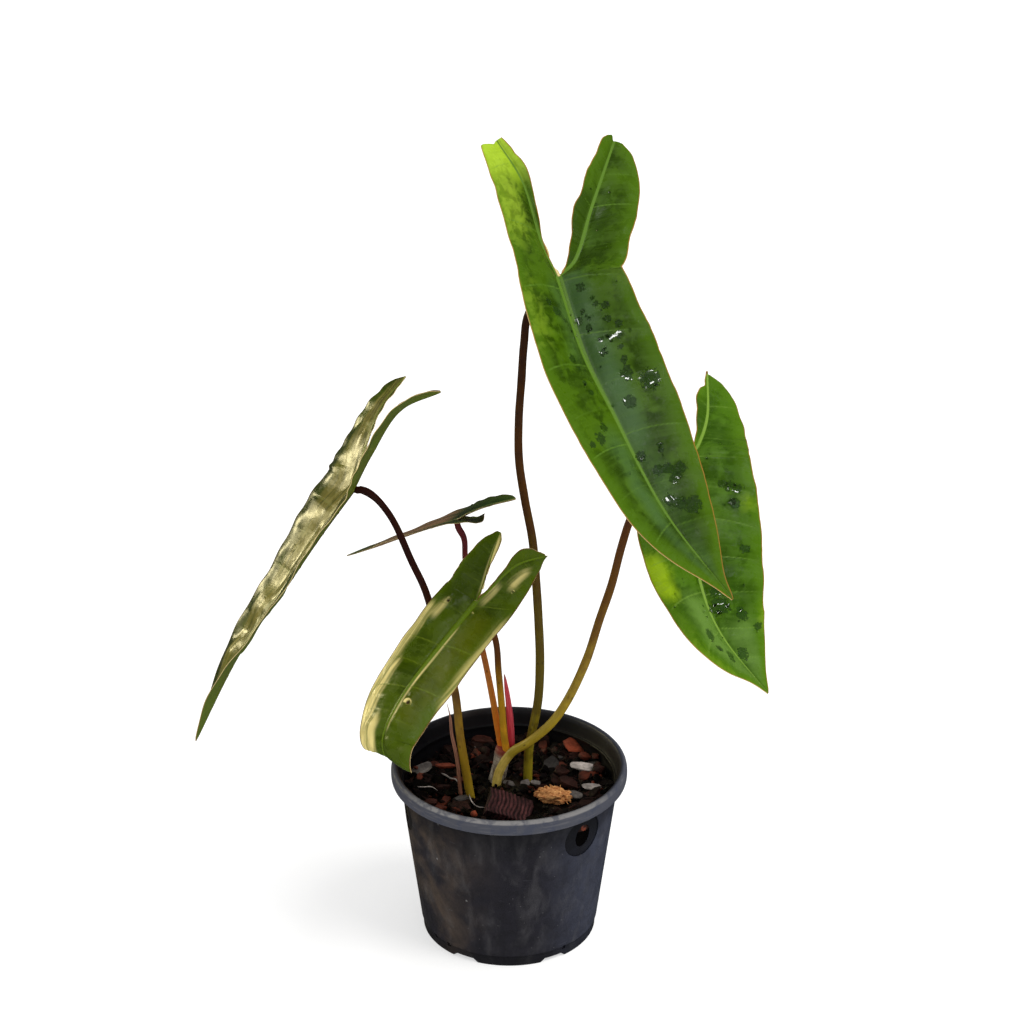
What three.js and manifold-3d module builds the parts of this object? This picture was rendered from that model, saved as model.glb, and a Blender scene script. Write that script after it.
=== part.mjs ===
// A young Philodendron billietiae in a black nursery pot.
// Millimetres, +Z up. The origin is the centre of the pot's foot, on the surface it stands on.
// Each leaf is a blade on its own petiole; the petioles rise from the soil or from the short crown.
import * as THREE from 'three';
import { mergeVertices } from 'three/addons/utils/BufferGeometryUtils.js';
import Module from 'manifold-3d';

const wasm = await Module();
wasm.setup();

// Driving dimensions of the pot
const POT_HEIGHT = 118;
const RIM_RADIUS = 76;
const LIP_HEIGHT = 9.6;
const WALL_TOP_RADIUS = 70.6;
const WALL_FOOT_RADIUS = 57.7;
const WALL = 1.6;
const FOOT_RADIUS = 56.6;
const FOOT_HEIGHT = 8;
const FOOT_WIDTH = 8;
const BASE_CLEARANCE = 4;
const BASE_TOP = 6.4;
const PAD_RADIUS = 14;
const FOOT_GAPS = 6;
const FOOT_GAP_TOP = 4.5;
const FOOT_GAP_TOP_WIDTH = 12;
const FOOT_GAP_BOTTOM_WIDTH = 19;
const DRAIN_SLOT = { inner: 44, outer: 53, width: 9 };
const HANGER_HOLES = 3;
const HANGER_ANGLE = -47;
const HANGER_HEIGHT = 93;
const HANGER_HOLE = { width: 12, height: 16.4 };
const HANGER_RECESS = { radius: 14.6, depth: 0.7 };
const WALL_CUT = { inside: 5, outside: 7 };
const OVERCUT = 1;
const POT_SIDES = 48;

// Driving dimensions of the filling. The chips' sizes are ranges for a seeded draw.
const GAP = 0.3;
const FACET_SAG = 0.2;
const SOIL_TOP = 97;
const SOIL_CEILING = 104;
const SOIL_SIDES = 32;
const SOIL_RINGS = [1, 0.88, 0.68, 0.48, 0.26, 0];
const CHIPS = {
  count: 52, length: [8, 14], width: [5, 9], thickness: [2.2, 4], spread: 60, tilt: 0.55, lift: 0.5, seed: 11,
};

// Driving dimensions of the plant
const BLADE_THICKNESS = 1;
const BURIED_DEPTH = 25;
const PETIOLE_SIDES = 8;
const PETIOLE_STEPS = 2.4;
const CROWN_SIDES = 14;
const HOLE_SIDES = 12;
const BLADE_ROWS = 17;
const LOBE_ROWS = 10;
const BLADE_COLUMNS = [0, 0.36, 0.7, 1];

// Stations along a half blade: -1 at the tip, 0 at the sinus, 1 at the tip of the basal lobe
const WIDTH_STATIONS = [-1, -0.95, -0.85, -0.7, -0.5, -0.3, -0.1, 0, 0.2, 0.5, 0.8, 0.94, 1];
const INNER_STATIONS = [0, 0.1, 0.3, 0.6, 0.85, 0.95, 1];
const ACROSS_STATIONS = [-1, -0.5, 0, 1];
const FOLD_STATIONS = [-1, 0, 1];
const CURL_STATIONS = [-1, -0.4, 0.1, 1];
const TURN = { before: 0.35, after: 0.5 };

// The blades. Ribs run from the sinus to the tips; across points to the blade's right-hand side,
// with its upper face to the viewer and its tip down. Half widths go with WIDTH_STATIONS and the
// lobes' inner widths with INNER_STATIONS. Folds are the degrees that each half rises from flat at
// FOLD_STATIONS, and curls are radians.
const LEAVES = {
  a: {
    colour: 0x2c4a1c,
    sinus: [29, -5, 446],
    midrib: [[43, -31, 409], [60, -53, 380], [89, -93, 335], [127, -124, 294]],
    left: { rib: [[19, 9, 464], [7, 24, 497], [-15, 31, 517]], inner: [0, 1.5, 3, 7, 10, 4, 1],
      fold: [14, 36, 13], innerFold: 40 },
    right: { rib: [[40, 11, 453], [52, 44, 475], [58, 77, 508]], inner: [0, 2, 4, 12.5, 9, 4, 1],
      fold: [14, 36, 21], innerFold: 12 },
    across: { tip: [0.78, 0.59, 0.22], middle: [0.79, 0.56, 0.25], sinus: [0.85, 0.47, 0.22],
      left: [0.69, 0.72, 0.04], right: [0.74, 0.66, 0.13] },
    halfWidths: [1, 5, 19.5, 32, 39, 41.5, 41, 37.5, 33, 31, 22.5, 14, 1],
    curl: [0, 0, 0, 0],
    wave: { height: 0.8, count: 4.5, left: 0.1, right: 0.6 },
  },
  b: {
    colour: 0x35551f,
    sinus: [109, -8, 333],
    midrib: [[109, -32, 309], [113, -61, 277], [125, -85, 252], [152, -104, 223]],
    left: { rib: [[102, 6, 339], [90, 24, 345], [81, 37, 345]], inner: [0, 2, 5, 7, 6, 3, 1],
      fold: [18, 19, 15], innerFold: 10 },
    right: { rib: [[116, 6, 337], [122, 27, 347], [123, 50, 365]], inner: [0, 2, 3, 7, 8, 3, 1],
      fold: [18, 19, 3], innerFold: 10 },
    across: { tip: [0.67, 0.72, -0.16], middle: [0.87, 0.48, 0.11], sinus: [0.9, 0.39, 0.2],
      left: [0.85, 0.51, 0.09], right: [0.69, 0.71, -0.14] },
    halfWidths: [1, 5, 21.5, 31.5, 38, 41, 39, 36, 32, 27.5, 20, 13, 1],
    curl: [0, 0, 0, 0],
    wave: { height: 0.8, count: 5, left: 0.3, right: 0.1 },
  },
  c: {
    colour: 0x6b7038,
    sinus: [-95, 0, 309],
    midrib: [[-117, -6, 279], [-141, -11, 243], [-167, -16, 203], [-197, -21, 145]],
    left: { rib: [[-89, 15, 328], [-79, 30, 350], [-64, 43, 366]], inner: [0, 1, 2, 6.5, 7, 3.5, 1],
      fold: [14, 22, 28], innerFold: -9 },
    right: { rib: [[-84, 0, 331], [-66, 0, 360], [-41, 1, 372]], inner: [0, 1, 3, 4, 4, 3, 1],
      fold: [22, 15, 70], innerFold: 10 },
    across: { tip: [0.04, -1, -0.03], middle: [0.02, -1, -0.02], sinus: [0.07, -0.98, 0.16],
      left: [-0.16, -0.97, 0.16], right: [0.57, -0.74, -0.35] },
    halfWidths: [1, 11, 21, 24.5, 29.5, 35, 36.5, 34, 32, 25.5, 15, 10, 1],
    curl: [0, 0, 0, 0],
    wave: { height: 1.3, count: 7, left: 0.2, right: 0.5 },
  },
  d: {
    colour: 0x4a5a30,
    sinus: [-33, 25, 277],
    midrib: [[-50, 38, 266], [-68, 50, 254], [-86, 59, 243], [-105, 67, 233]],
    left: { rib: [[-24, 21, 284], [-12, 16, 291], [4, 12, 297]], inner: [0, 1, 3, 4, 3.5, 2, 1],
      fold: [2, 7, 15], innerFold: 5 },
    right: { rib: [[-28, 28, 276], [-21, 32, 275], [-16, 35, 276]], inner: [0, 1, 3, 4, 3.5, 2, 1],
      fold: [2, 7, 7], innerFold: 5 },
    across: { tip: [-0.32, -0.94, 0.16], middle: [-0.34, -0.92, 0.2], sinus: [-0.29, -0.95, 0.13],
      left: [-0.3, -0.95, 0.09], right: [-0.33, -0.93, 0.18] },
    halfWidths: [1, 4, 10.5, 16, 19.5, 21, 21, 19.5, 15, 13, 9.5, 5.5, 1],
    curl: [0, 0, 0, 0],
    wave: { height: 0.6, count: 4, left: 0, right: 0.4 },
  },
  e: {
    colour: 0x55611f,
    sinus: [-20, -22, 243],
    midrib: [[-41, -44, 225], [-63, -60, 201], [-76, -71, 178], [-75, -73, 166], [-67, -36, 159]],
    left: { rib: [[-16, -21, 252], [-10, -19, 270], [-5, -16, 287]], inner: [0, 0.8, 1, 1.5, 5, 1.5, 1],
      fold: [15, -9, 0], innerFold: 15 },
    right: { rib: [[-13, -24, 251], [4, -30, 271], [22, -35, 280]], inner: [0, 1, 1, 2.5, 8, 3.5, 1],
      fold: [15, -9, 8], innerFold: 7 },
    across: { tip: [0.84, -0.29, -0.46], middle: [0.76, -0.64, -0.08], sinus: [0.87, -0.26, -0.41],
      left: [0.79, -0.61, -0.03], right: [0.88, -0.32, -0.35] },
    halfWidths: [1, 6, 15, 17, 24, 24.5, 23, 22.5, 21.5, 18, 12.5, 4, 1],
    curl: [-0.3, -0.3, -0.2, -0.1],
    wave: { height: 0.7, count: 5, left: 0.5, right: 0.2 },
  },
};

// The petioles: route from the soil or the crown towards the blade, and radius at both ends. The last
// stretch is worked out from the blade: over its run it comes straight up to the blade's underside at
// the sinus, and ends its seat short of it.
const PETIOLES = {
  a: {
    route: [[12, 13, 98], [13, 13, 121], [19, 16, 149], [19, 22, 209], [18, 24, 235], [15, 25, 264],
      [7, 25, 306], [6, 24, 341], [7, 18, 396], [11, 14, 416]],
    radius: [3, 2.3], run: 12, seat: 0.8, colour: 0x6f6128,
  },
  b: {
    route: [[-8, 9, 98], [-5.5, 8.2, 108], [2, 7, 121], [12, 5, 129], [27, 2, 145], [39, 1, 166],
      [57, 3, 221], [69, 6, 255], [77, 10, 284], [91, 13, 309]],
    radius: [3, 2.3], run: 16, seat: 1.2, colour: 0x77692b,
  },
  c: {
    route: [[-25, -8, 98], [-31, -7, 139], [-34, -5, 173], [-43, -3, 207], [-51, -2, 237],
      [-63, 0, 270], [-72, 1, 288]],
    radius: [2.8, 1.9], run: 12, seat: 0.4, colour: 0x5a3820,
  },
  d: {
    route: [[-5.7, 20.3, 118.7], [-10, 22, 148], [-17, 24, 183], [-24, 26, 221], [-27, 26, 252]],
    radius: [1.9, 1.6], run: 7, seat: 0.9, colour: 0x6b2f28,
  },
  e: {
    route: [[-2, 15.3, 118.7], [-3, 13, 149], [-5, 7, 178], [-8, -3, 209]],
    radius: [2.1, 1.7], run: 10, seat: 0.7, colour: 0x7a5a24,
  },
};

// How each petiole that stands in the soil points at its foot, and how much wider its hole is made.
const STANDING = {
  a: { towards: [13, 13, 121], slack: 0 },
  b: { towards: [-7.9, 9, 104], slack: 0.3 },
  c: { towards: [-31, -7, 139], slack: 0 },
};

// The other pieces that rise from the crown and the soil. The first four rings of the crown are buried
// in the soil or pass through its surface.
const CROWN = [
  { centre: [-12, 18, 74], radius: 4.6 },
  { centre: [-10, 18, 86], radius: 5.4 },
  { centre: [-7.6, 18, 97], radius: 5.3 },
  { centre: [-5.4, 18, 107], radius: 5 },
  { centre: [-3.4, 18.2, 114], radius: 5.8 },
  { centre: [-2.4, 18.2, 118], radius: 6.4 },
];
const CROWN_RINGS_IN_SOIL = 4;
const NEW_LEAF = {
  route: [[2.3, 19, 118.7], [2.4, 19, 132], [1.8, 19, 146], [-0.2, 19, 158], [-3, 19, 170]],
  radii: [1.9, 2.1, 2, 1.6, 0.5], steps: 12, sides: 8,
};
const DRY_SHEATH = {
  route: [[-30.4, -8.4, 86], [-31.2, -8.6, 99], [-33.6, -9, 127], [-36.4, -9, 143], [-37.4, -9, 156],
    [-39.2, -9, 164]],
  radii: [0.9, 1.1, 1.1, 1, 0.9, 0.4], steps: 14, sides: 6, slack: 0.1,
};

// The two big pieces that lie in the soil
const BARK_BLOCK = {
  length: 29, depth: 19, thickness: 9, ribs: 8, ribHeight: 1.6, pitch: 22, turn: -4, centre: [-0.5, -25, 98],
};
const HUSK_CHUNK = {
  size: [23, 16, 10], crumple: [0.86, 1.14], turn: -18, centre: [28, -12, 99.5], seed: 5,
};

// Places that the loose chips keep clear of: stems, the bark block and the husk chunk.
const KEEP_CLEAR = [
  { at: [12, 13], radius: 10 }, { at: [-8, 9], radius: 11 }, { at: [-6, 18], radius: 13 },
  { at: [0, 9], radius: 9 }, { at: [-25, -8], radius: 10 }, { at: [-31, -8], radius: 9 },
  { at: [0, -26], radius: 24 }, { at: [28, -12], radius: 19 },
];

const COLOURS = { pot: 0x33353b, soil: 0x2a1c15, bark: 0x4b3029, husk: 0xa8602f, crown: 0x8d8270,
  newLeaf: 0xb5303a, drySheath: 0x8a5a35 };

const SURFACES = {
  pot: { roughness: 0.55, metalness: 0 },
  leaf: { roughness: 0.35, metalness: 0 },
  stem: { roughness: 0.5, metalness: 0 },
  rough: { roughness: 0.9, metalness: 0 },
};

// General helpers

const WELD = 1e-4;

function vector([x, y, z]) {
  return new THREE.Vector3(x, y, z);
}

function seededRandom(seed) {
  let state = seed >>> 0;
  return () => {
    state = (state * 1664525 + 1013904223) >>> 0;
    return state / 4294967296;
  };
}

// The value at one station of a smooth curve through values given at some stations.
function smoothThrough(stations, values, station) {
  const last = stations.length - 1;
  const here = THREE.MathUtils.clamp(station, stations[0], stations[last]);
  let i = 0;
  while (i < last - 1 && here > stations[i + 1]) i += 1;
  const slope = (k) => (values[k + 1] - values[k]) / (stations[k + 1] - stations[k]);
  const tangent = (k) => {
    if (k === 0) return slope(0);
    if (k === last) return slope(last - 1);
    return (slope(k - 1) + slope(k)) / 2;
  };
  const span = stations[i + 1] - stations[i];
  const t = (here - stations[i]) / span;
  return (2 * t ** 3 - 3 * t ** 2 + 1) * values[i] + (t ** 3 - 2 * t ** 2 + t) * span * tangent(i)
    + (3 * t ** 2 - 2 * t ** 3) * values[i + 1] + (t ** 3 - t ** 2) * span * tangent(i + 1);
}

function indexedGeometry(points, triangles) {
  const geometry = new THREE.BufferGeometry();
  geometry.setAttribute('position', new THREE.Float32BufferAttribute(points.flatMap((p) => p.toArray()), 3));
  geometry.setIndex(triangles);
  return geometry;
}

function stripped(geometry) {
  const bare = geometry.clone();
  bare.deleteAttribute('normal');
  bare.deleteAttribute('uv');
  return bare;
}

function toSolid(geometry) {
  const merged = mergeVertices(stripped(geometry), WELD);
  return new wasm.Manifold(new wasm.Mesh({
    numProp: 3,
    vertProperties: new Float32Array(merged.attributes.position.array),
    triVerts: new Uint32Array(merged.index.array),
  }));
}

// The outer body of a solid, with any pocket that its joined pieces closed in filled again.
function outerBody(solid) {
  return solid.decompose().reduce((best, body) => (body.volume() > best.volume() ? body : best));
}

function toGeometry(solid) {
  const mesh = solid.getMesh();
  const geometry = new THREE.BufferGeometry();
  geometry.setAttribute('position', new THREE.BufferAttribute(new Float32Array(mesh.vertProperties), 3));
  geometry.setIndex(new THREE.BufferAttribute(new Uint32Array(mesh.triVerts), 1));
  geometry.computeVertexNormals();
  return geometry;
}

// A closed solid through rings of equal length, with both ends capped.
function loft(rings) {
  const sides = rings[0].length;
  const points = rings.flat();
  const triangles = [];
  for (let ring = 0; ring < rings.length - 1; ring += 1) {
    for (let side = 0; side < sides; side += 1) {
      const next = (side + 1) % sides;
      const low = ring * sides;
      const high = low + sides;
      triangles.push(low + side, low + next, high + next, low + side, high + next, high + side);
    }
  }
  const top = (rings.length - 1) * sides;
  for (let side = 1; side < sides - 1; side += 1) {
    triangles.push(0, side + 1, side, top, top + side, top + side + 1);
  }
  return indexedGeometry(points, triangles);
}

// A round rod along a route, with its radius read at even steps of the route.
function rod(route, radii, steps, sides) {
  const curve = new THREE.CatmullRomCurve3(route, false, 'centripetal');
  const frames = curve.computeFrenetFrames(steps, false);
  const stations = radii.map((_, i) => i / (radii.length - 1));
  const rings = [];
  for (let step = 0; step <= steps; step += 1) {
    const centre = curve.getPointAt(step / steps);
    const radius = smoothThrough(stations, radii, step / steps);
    rings.push(Array.from({ length: sides }, (_, side) => {
      const angle = (2 * Math.PI * side) / sides;
      return centre.clone()
        .addScaledVector(frames.normals[step], radius * Math.cos(angle))
        .addScaledVector(frames.binormals[step], radius * Math.sin(angle));
    }));
  }
  return loft(rings);
}

const UP = new THREE.Vector3(0, 0, 1);
const RIGHT = new THREE.Vector3(1, 0, 0);

function turned(geometry, axis, degrees) {
  return geometry.applyMatrix4(new THREE.Matrix4().makeRotationAxis(axis, THREE.MathUtils.degToRad(degrees)));
}

// A round body about the Z axis, through [radius, height] pairs.
function turnedBody(profile, sides) {
  const points = profile.map(([radius, height]) => new THREE.Vector2(radius, height));
  return turned(new THREE.LatheGeometry(points, sides), RIGHT, 90);
}

// The pot

function potWallRadius(height) {
  const top = POT_HEIGHT - LIP_HEIGHT;
  const t = (height - FOOT_HEIGHT) / (top - FOOT_HEIGHT);
  return WALL_FOOT_RADIUS + (WALL_TOP_RADIUS - WALL_FOOT_RADIUS) * t;
}

function potBody() {
  const lipFoot = POT_HEIGHT - LIP_HEIGHT;
  const ledge = lipFoot - 1;
  const profile = [
    [0, 0], [PAD_RADIUS, 0], [PAD_RADIUS, BASE_CLEARANCE],
    [FOOT_RADIUS - FOOT_WIDTH, BASE_CLEARANCE], [FOOT_RADIUS - FOOT_WIDTH, 0], [FOOT_RADIUS, 0],
    [FOOT_RADIUS + 0.2, FOOT_HEIGHT - 1.2], [WALL_FOOT_RADIUS, FOOT_HEIGHT],
    [WALL_TOP_RADIUS, lipFoot],
    [RIM_RADIUS - 0.9, lipFoot], [RIM_RADIUS - 0.2, lipFoot + 1], [RIM_RADIUS, lipFoot + 4],
    [RIM_RADIUS - 0.2, POT_HEIGHT - 2.4], [RIM_RADIUS - 1, POT_HEIGHT - 0.8],
    [RIM_RADIUS - 2.4, POT_HEIGHT], [RIM_RADIUS - 4, POT_HEIGHT - 0.4],
    [RIM_RADIUS - 4.8, POT_HEIGHT - 2], [WALL_TOP_RADIUS - WALL + 0.4, ledge + 1],
    [potWallRadius(ledge) - WALL - 0.9, ledge], [potWallRadius(ledge - 3) - WALL, ledge - 3],
    [potWallRadius(BASE_TOP) - WALL, BASE_TOP], [0, BASE_TOP],
  ];
  return turnedBody(profile, POT_SIDES);
}

// A gap in the foot ring, wider below.
function footGap(degrees) {
  const low = FOOT_GAP_BOTTOM_WIDTH / 2 + OVERCUT;
  const high = FOOT_GAP_TOP_WIDTH / 2;
  const outline = new THREE.Shape([
    new THREE.Vector2(-low, -OVERCUT), new THREE.Vector2(low, -OVERCUT),
    new THREE.Vector2(high, FOOT_GAP_TOP), new THREE.Vector2(-high, FOOT_GAP_TOP),
  ]);
  const cut = new THREE.ExtrudeGeometry(outline, { depth: FOOT_WIDTH + 4 * OVERCUT, bevelEnabled: false });
  turned(cut, RIGHT, 90);
  cut.translate(0, -(FOOT_RADIUS - FOOT_WIDTH - OVERCUT), 0);
  return turned(cut, UP, degrees);
}

// A drain slot through the base, behind a gap of the foot.
function drainSlot(degrees) {
  const length = DRAIN_SLOT.outer - DRAIN_SLOT.inner;
  const cut = new THREE.BoxGeometry(DRAIN_SLOT.width, length, BASE_TOP + 2 * OVERCUT);
  cut.translate(0, -(DRAIN_SLOT.inner + DRAIN_SLOT.outer) / 2, BASE_TOP / 2);
  return turned(cut, UP, degrees);
}

// An oval cutter that points outwards through the wall at the hanger's height.
function wallCutter(width, height, degrees) {
  const oval = new THREE.Shape().absellipse(0, 0, width / 2, height / 2, 0, 2 * Math.PI);
  const depth = WALL_CUT.inside + WALL_CUT.outside;
  const cut = new THREE.ExtrudeGeometry(oval, { depth, bevelEnabled: false });
  cut.applyMatrix4(new THREE.Matrix4().makeBasis(new THREE.Vector3(0, 1, 0), UP, RIGHT));
  cut.translate(potWallRadius(HANGER_HEIGHT) - WALL_CUT.inside, 0, HANGER_HEIGHT);
  return toSolid(turned(cut, UP, degrees));
}

// A hanger hole goes through the wall, in the middle of a round recess in the wall's outer face.
function hangerHole(degrees) {
  const { radius, depth } = HANGER_RECESS;
  const [low, high] = [HANGER_HEIGHT - 2 * radius, HANGER_HEIGHT + 2 * radius];
  const core = turnedBody([[0, low], [potWallRadius(low) - depth, low], [potWallRadius(high) - depth, high],
    [0, high]], POT_SIDES);
  const recess = wallCutter(2 * radius, 2 * radius, degrees).subtract(toSolid(core));
  return recess.add(wallCutter(HANGER_HOLE.width, HANGER_HOLE.height, degrees));
}

function makePot() {
  let solid = toSolid(potBody());
  for (let i = 0; i < FOOT_GAPS; i += 1) {
    const degrees = (360 * (i + 0.5)) / FOOT_GAPS;
    solid = solid.subtract(toSolid(footGap(degrees))).subtract(toSolid(drainSlot(degrees)));
  }
  for (let i = 0; i < HANGER_HOLES; i += 1) {
    solid = solid.subtract(hangerHole(HANGER_ANGLE + (360 * i) / HANGER_HOLES));
  }
  return toGeometry(solid);
}

// The soil, with chips fused in and a plain hole or pocket for each piece that stands in it

function soilRelief(x, y) {
  const slow = Math.sin(x * 0.11 + 1.3) * Math.cos(y * 0.09 - 0.4);
  const quick = Math.sin(x * 0.31 + y * 0.17) * Math.cos(y * 0.29 - x * 0.13);
  const dip = Math.exp(-((x + 6) ** 2 + (y - 13) ** 2) / 260);
  return 1.5 * slow + 0.9 * quick - 1.5 * dip;
}

// The soil's radius at a height: the pot's inside, less a gap and the sag of the pot's facets.
function soilRadius(height) {
  return potWallRadius(height) - WALL - GAP - FACET_SAG;
}

function soilBody() {
  const bottom = BASE_TOP + GAP;
  const rim = soilRadius(SOIL_TOP);
  const body = turnedBody([
    [0, bottom], [soilRadius(bottom), bottom], ...SOIL_RINGS.map((share) => [rim * share, SOIL_TOP]),
  ], SOIL_SIDES);
  const position = body.attributes.position;
  for (let i = 0; i < position.count; i += 1) {
    const x = position.getX(i);
    const y = position.getY(i);
    const inside = Math.hypot(x, y) < rim * 0.95;
    if (inside && position.getZ(i) > bottom + 1) position.setZ(i, SOIL_TOP + soilRelief(x, y));
  }
  return body;
}

function soilChips() {
  const random = seededRandom(CHIPS.seed);
  const between = ([low, high]) => low + (high - low) * random();
  const lean = [-CHIPS.tilt, CHIPS.tilt];
  const chips = [];
  while (chips.length < CHIPS.count) {
    const radius = CHIPS.spread * Math.sqrt(random());
    const angle = 2 * Math.PI * random();
    const x = radius * Math.cos(angle);
    const y = radius * Math.sin(angle);
    const chip = new THREE.BoxGeometry(between(CHIPS.length), between(CHIPS.width), between(CHIPS.thickness));
    const tilt = new THREE.Euler(between(lean), between(lean), between([0, Math.PI]));
    const clear = KEEP_CLEAR.every(({ at, radius: keep }) => Math.hypot(x - at[0], y - at[1]) > keep);
    if (clear) {
      chip.applyMatrix4(new THREE.Matrix4().makeRotationFromEuler(tilt));
      chip.translate(x, y, SOIL_TOP + soilRelief(x, y) + CHIPS.lift);
      chips.push(chip);
    }
  }
  return chips;
}

// A hole, a gap wider all round than the rod that stands in it from one place to another.
function plainHole(from, to, radius) {
  const wide = (radius + GAP) / Math.cos(Math.PI / HOLE_SIDES);
  const axis = to.clone().sub(from).normalize();
  const start = from.clone().addScaledVector(axis, -GAP);
  return toSolid(rod([start, to], [wide, wide], 1, HOLE_SIDES));
}

function buriedEnd(from, towards) {
  const down = vector(from).sub(vector(towards));
  return vector(from).addScaledVector(down, BURIED_DEPTH / Math.abs(down.z));
}

// What is cut from the soil for all that stands or lies in it.
function soilCutters() {
  const petiolePockets = Object.entries(STANDING).map(([name, { towards, slack }]) => {
    const { route, radius } = PETIOLES[name];
    const foot = buriedEnd(route[0], towards);
    const above = vector(route[0]).multiplyScalar(2).sub(foot);
    return plainHole(foot, above, radius[0] + slack + FACET_SAG / 4);
  });
  const crownPocket = loft(CROWN.slice(0, CROWN_RINGS_IN_SOIL).map(({ centre: [x, y, z], radius }, i) => (
    horizontalRing([x, y, i === 0 ? z - GAP : z], radius + 2 * GAP, CROWN_SIDES))));
  const { route, radii, slack } = DRY_SHEATH;
  return [
    ...petiolePockets,
    toSolid(crownPocket),
    plainHole(vector(route[0]), vector(route[2]), radii[1] + slack + FACET_SAG / 4),
    toSolid(barkBlock(GAP)),
    toSolid(huskChunk(1 + (3 * GAP) / HUSK_CHUNK.size[2])),
  ];
}

function makeSoil() {
  let solid = toSolid(soilBody());
  for (const chip of soilChips()) solid = solid.add(toSolid(chip));
  for (const cutter of soilCutters()) solid = solid.subtract(cutter);
  const inside = turnedBody([
    [0, BASE_TOP], [soilRadius(BASE_TOP) + FACET_SAG, BASE_TOP],
    [soilRadius(SOIL_CEILING) + FACET_SAG, SOIL_CEILING], [0, SOIL_CEILING],
  ], SOIL_SIDES);
  return toGeometry(outerBody(solid.intersect(toSolid(inside))));
}

// A block of bark with ribs along its upper face; margin widens it all round.
function barkBlock(margin = 0) {
  const { length, depth, thickness, ribs, ribHeight, pitch, turn, centre } = BARK_BLOCK;
  const half = length / 2 + margin;
  const floor = -thickness / 2 - margin;
  const outline = new THREE.Shape([new THREE.Vector2(-half, floor), new THREE.Vector2(half, floor)]);
  for (let rib = ribs * 2; rib >= 0; rib -= 1) {
    const x = -half + (half * rib) / ribs;
    const crest = margin > 0 || rib % 2 === 1 ? ribHeight / 2 : -ribHeight / 2;
    outline.lineTo(x, thickness / 2 + margin + crest);
  }
  const span = depth + 2 * margin;
  const block = new THREE.ExtrudeGeometry(outline, { depth: span, bevelEnabled: false });
  block.translate(0, 0, -span / 2);
  turned(block, RIGHT, 90 + pitch);
  turned(block, UP, turn);
  return block.translate(...centre);
}

// A crumpled chunk of husk: a coarse ball, pushed in and out by a seeded draw.
function huskChunk(scale = 1) {
  const { size: [width, depth, height], crumple: [low, high], turn, centre, seed } = HUSK_CHUNK;
  const random = seededRandom(seed);
  const ball = mergeVertices(stripped(new THREE.IcosahedronGeometry(0.5, 2)), WELD);
  const position = ball.attributes.position;
  for (let i = 0; i < position.count; i += 1) {
    const push = (low + (high - low) * random()) * scale;
    const [x, y, z] = [position.getX(i) * width, position.getY(i) * depth, position.getZ(i) * height];
    position.setXYZ(i, x * push, y * push, z * push);
  }
  turned(ball, UP, turn);
  return ball.translate(...centre);
}

// The crown, the new leaf in its sheath, and the dry strip of an old sheath

function horizontalRing([x, y, z], radius, sides) {
  return Array.from({ length: sides }, (_, side) => {
    const angle = (2 * Math.PI * side) / sides;
    return new THREE.Vector3(x + radius * Math.cos(angle), y + radius * Math.sin(angle), z);
  });
}

function makeCrown() {
  return loft(CROWN.map(({ centre, radius }) => horizontalRing(centre, radius, CROWN_SIDES)));
}

// The blades

function unitAcross(leaf, side, station, along) {
  const { tip, middle, sinus } = leaf.across;
  const lobe = side < 0 ? leaf.across.left : leaf.across.right;
  const across = new THREE.Vector3(...[0, 1, 2].map((axis) => smoothThrough(
    ACROSS_STATIONS, [tip[axis], middle[axis], sinus[axis], lobe[axis]], station)));
  return across.addScaledVector(along, -across.dot(along)).normalize();
}

// Where the rib is at a station, with the directions along it, across it and out of its upper face.
function ribFrame(leaf, side, station) {
  const lobe = side < 0 ? leaf.left : leaf.right;
  const midrib = new THREE.CatmullRomCurve3([leaf.sinus, ...leaf.midrib].map(vector), false, 'catmullrom');
  const lobeRib = new THREE.CatmullRomCurve3([leaf.sinus, ...lobe.rib].map(vector), false, 'catmullrom');
  const place = station < 0 ? midrib.getPoint(-station) : lobeRib.getPoint(station);
  const up = midrib.getTangent(Math.max(-station, 0)).negate();
  const out = lobeRib.getTangent(Math.max(station, 0));
  const turn = THREE.MathUtils.smoothstep(station, -TURN.before, TURN.after);
  const along = up.multiplyScalar(1 - turn).addScaledVector(out, turn).normalize();
  const across = unitAcross(leaf, side, station, along);
  const normal = new THREE.Vector3().crossVectors(across, along);
  return { place, along, across: across.multiplyScalar(side), normal };
}

// A point of a half blade: reach 0 is the rib, 1 the outer margin and -1 the inner edge of a lobe.
function bladePoint(leaf, side, station, reach) {
  const { place, across, normal } = ribFrame(leaf, side, station);
  const half = side < 0 ? leaf.left : leaf.right;
  const outwards = reach >= 0;
  const width = outwards
    ? smoothThrough(WIDTH_STATIONS, leaf.halfWidths, station)
    : smoothThrough(INNER_STATIONS, half.inner, station);
  const distance = Math.abs(reach) * width;
  const fold = outwards ? smoothThrough(FOLD_STATIONS, half.fold, station) : half.innerFold;
  const curl = outwards ? smoothThrough(CURL_STATIONS, leaf.curl, station) * (reach / 2) : 0;
  const rise = THREE.MathUtils.degToRad(fold) + curl;
  const wave = marginWave(leaf.wave, side, station) * reach ** 2;
  return place.addScaledVector(across, Math.sign(reach) * distance * Math.cos(rise))
    .addScaledVector(normal, distance * Math.sin(rise) + wave);
}

// The ripple of a margin, which fades towards the blade's tip and the lobe's.
function marginWave({ height, count, left, right }, side, station) {
  const { smoothstep } = THREE.MathUtils;
  const fade = smoothstep(station, -1, -0.7) * (1 - smoothstep(station, 0.8, 1));
  const phase = side < 0 ? left : right;
  return height * fade * Math.sin(2 * Math.PI * (count * station + phase));
}

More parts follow.
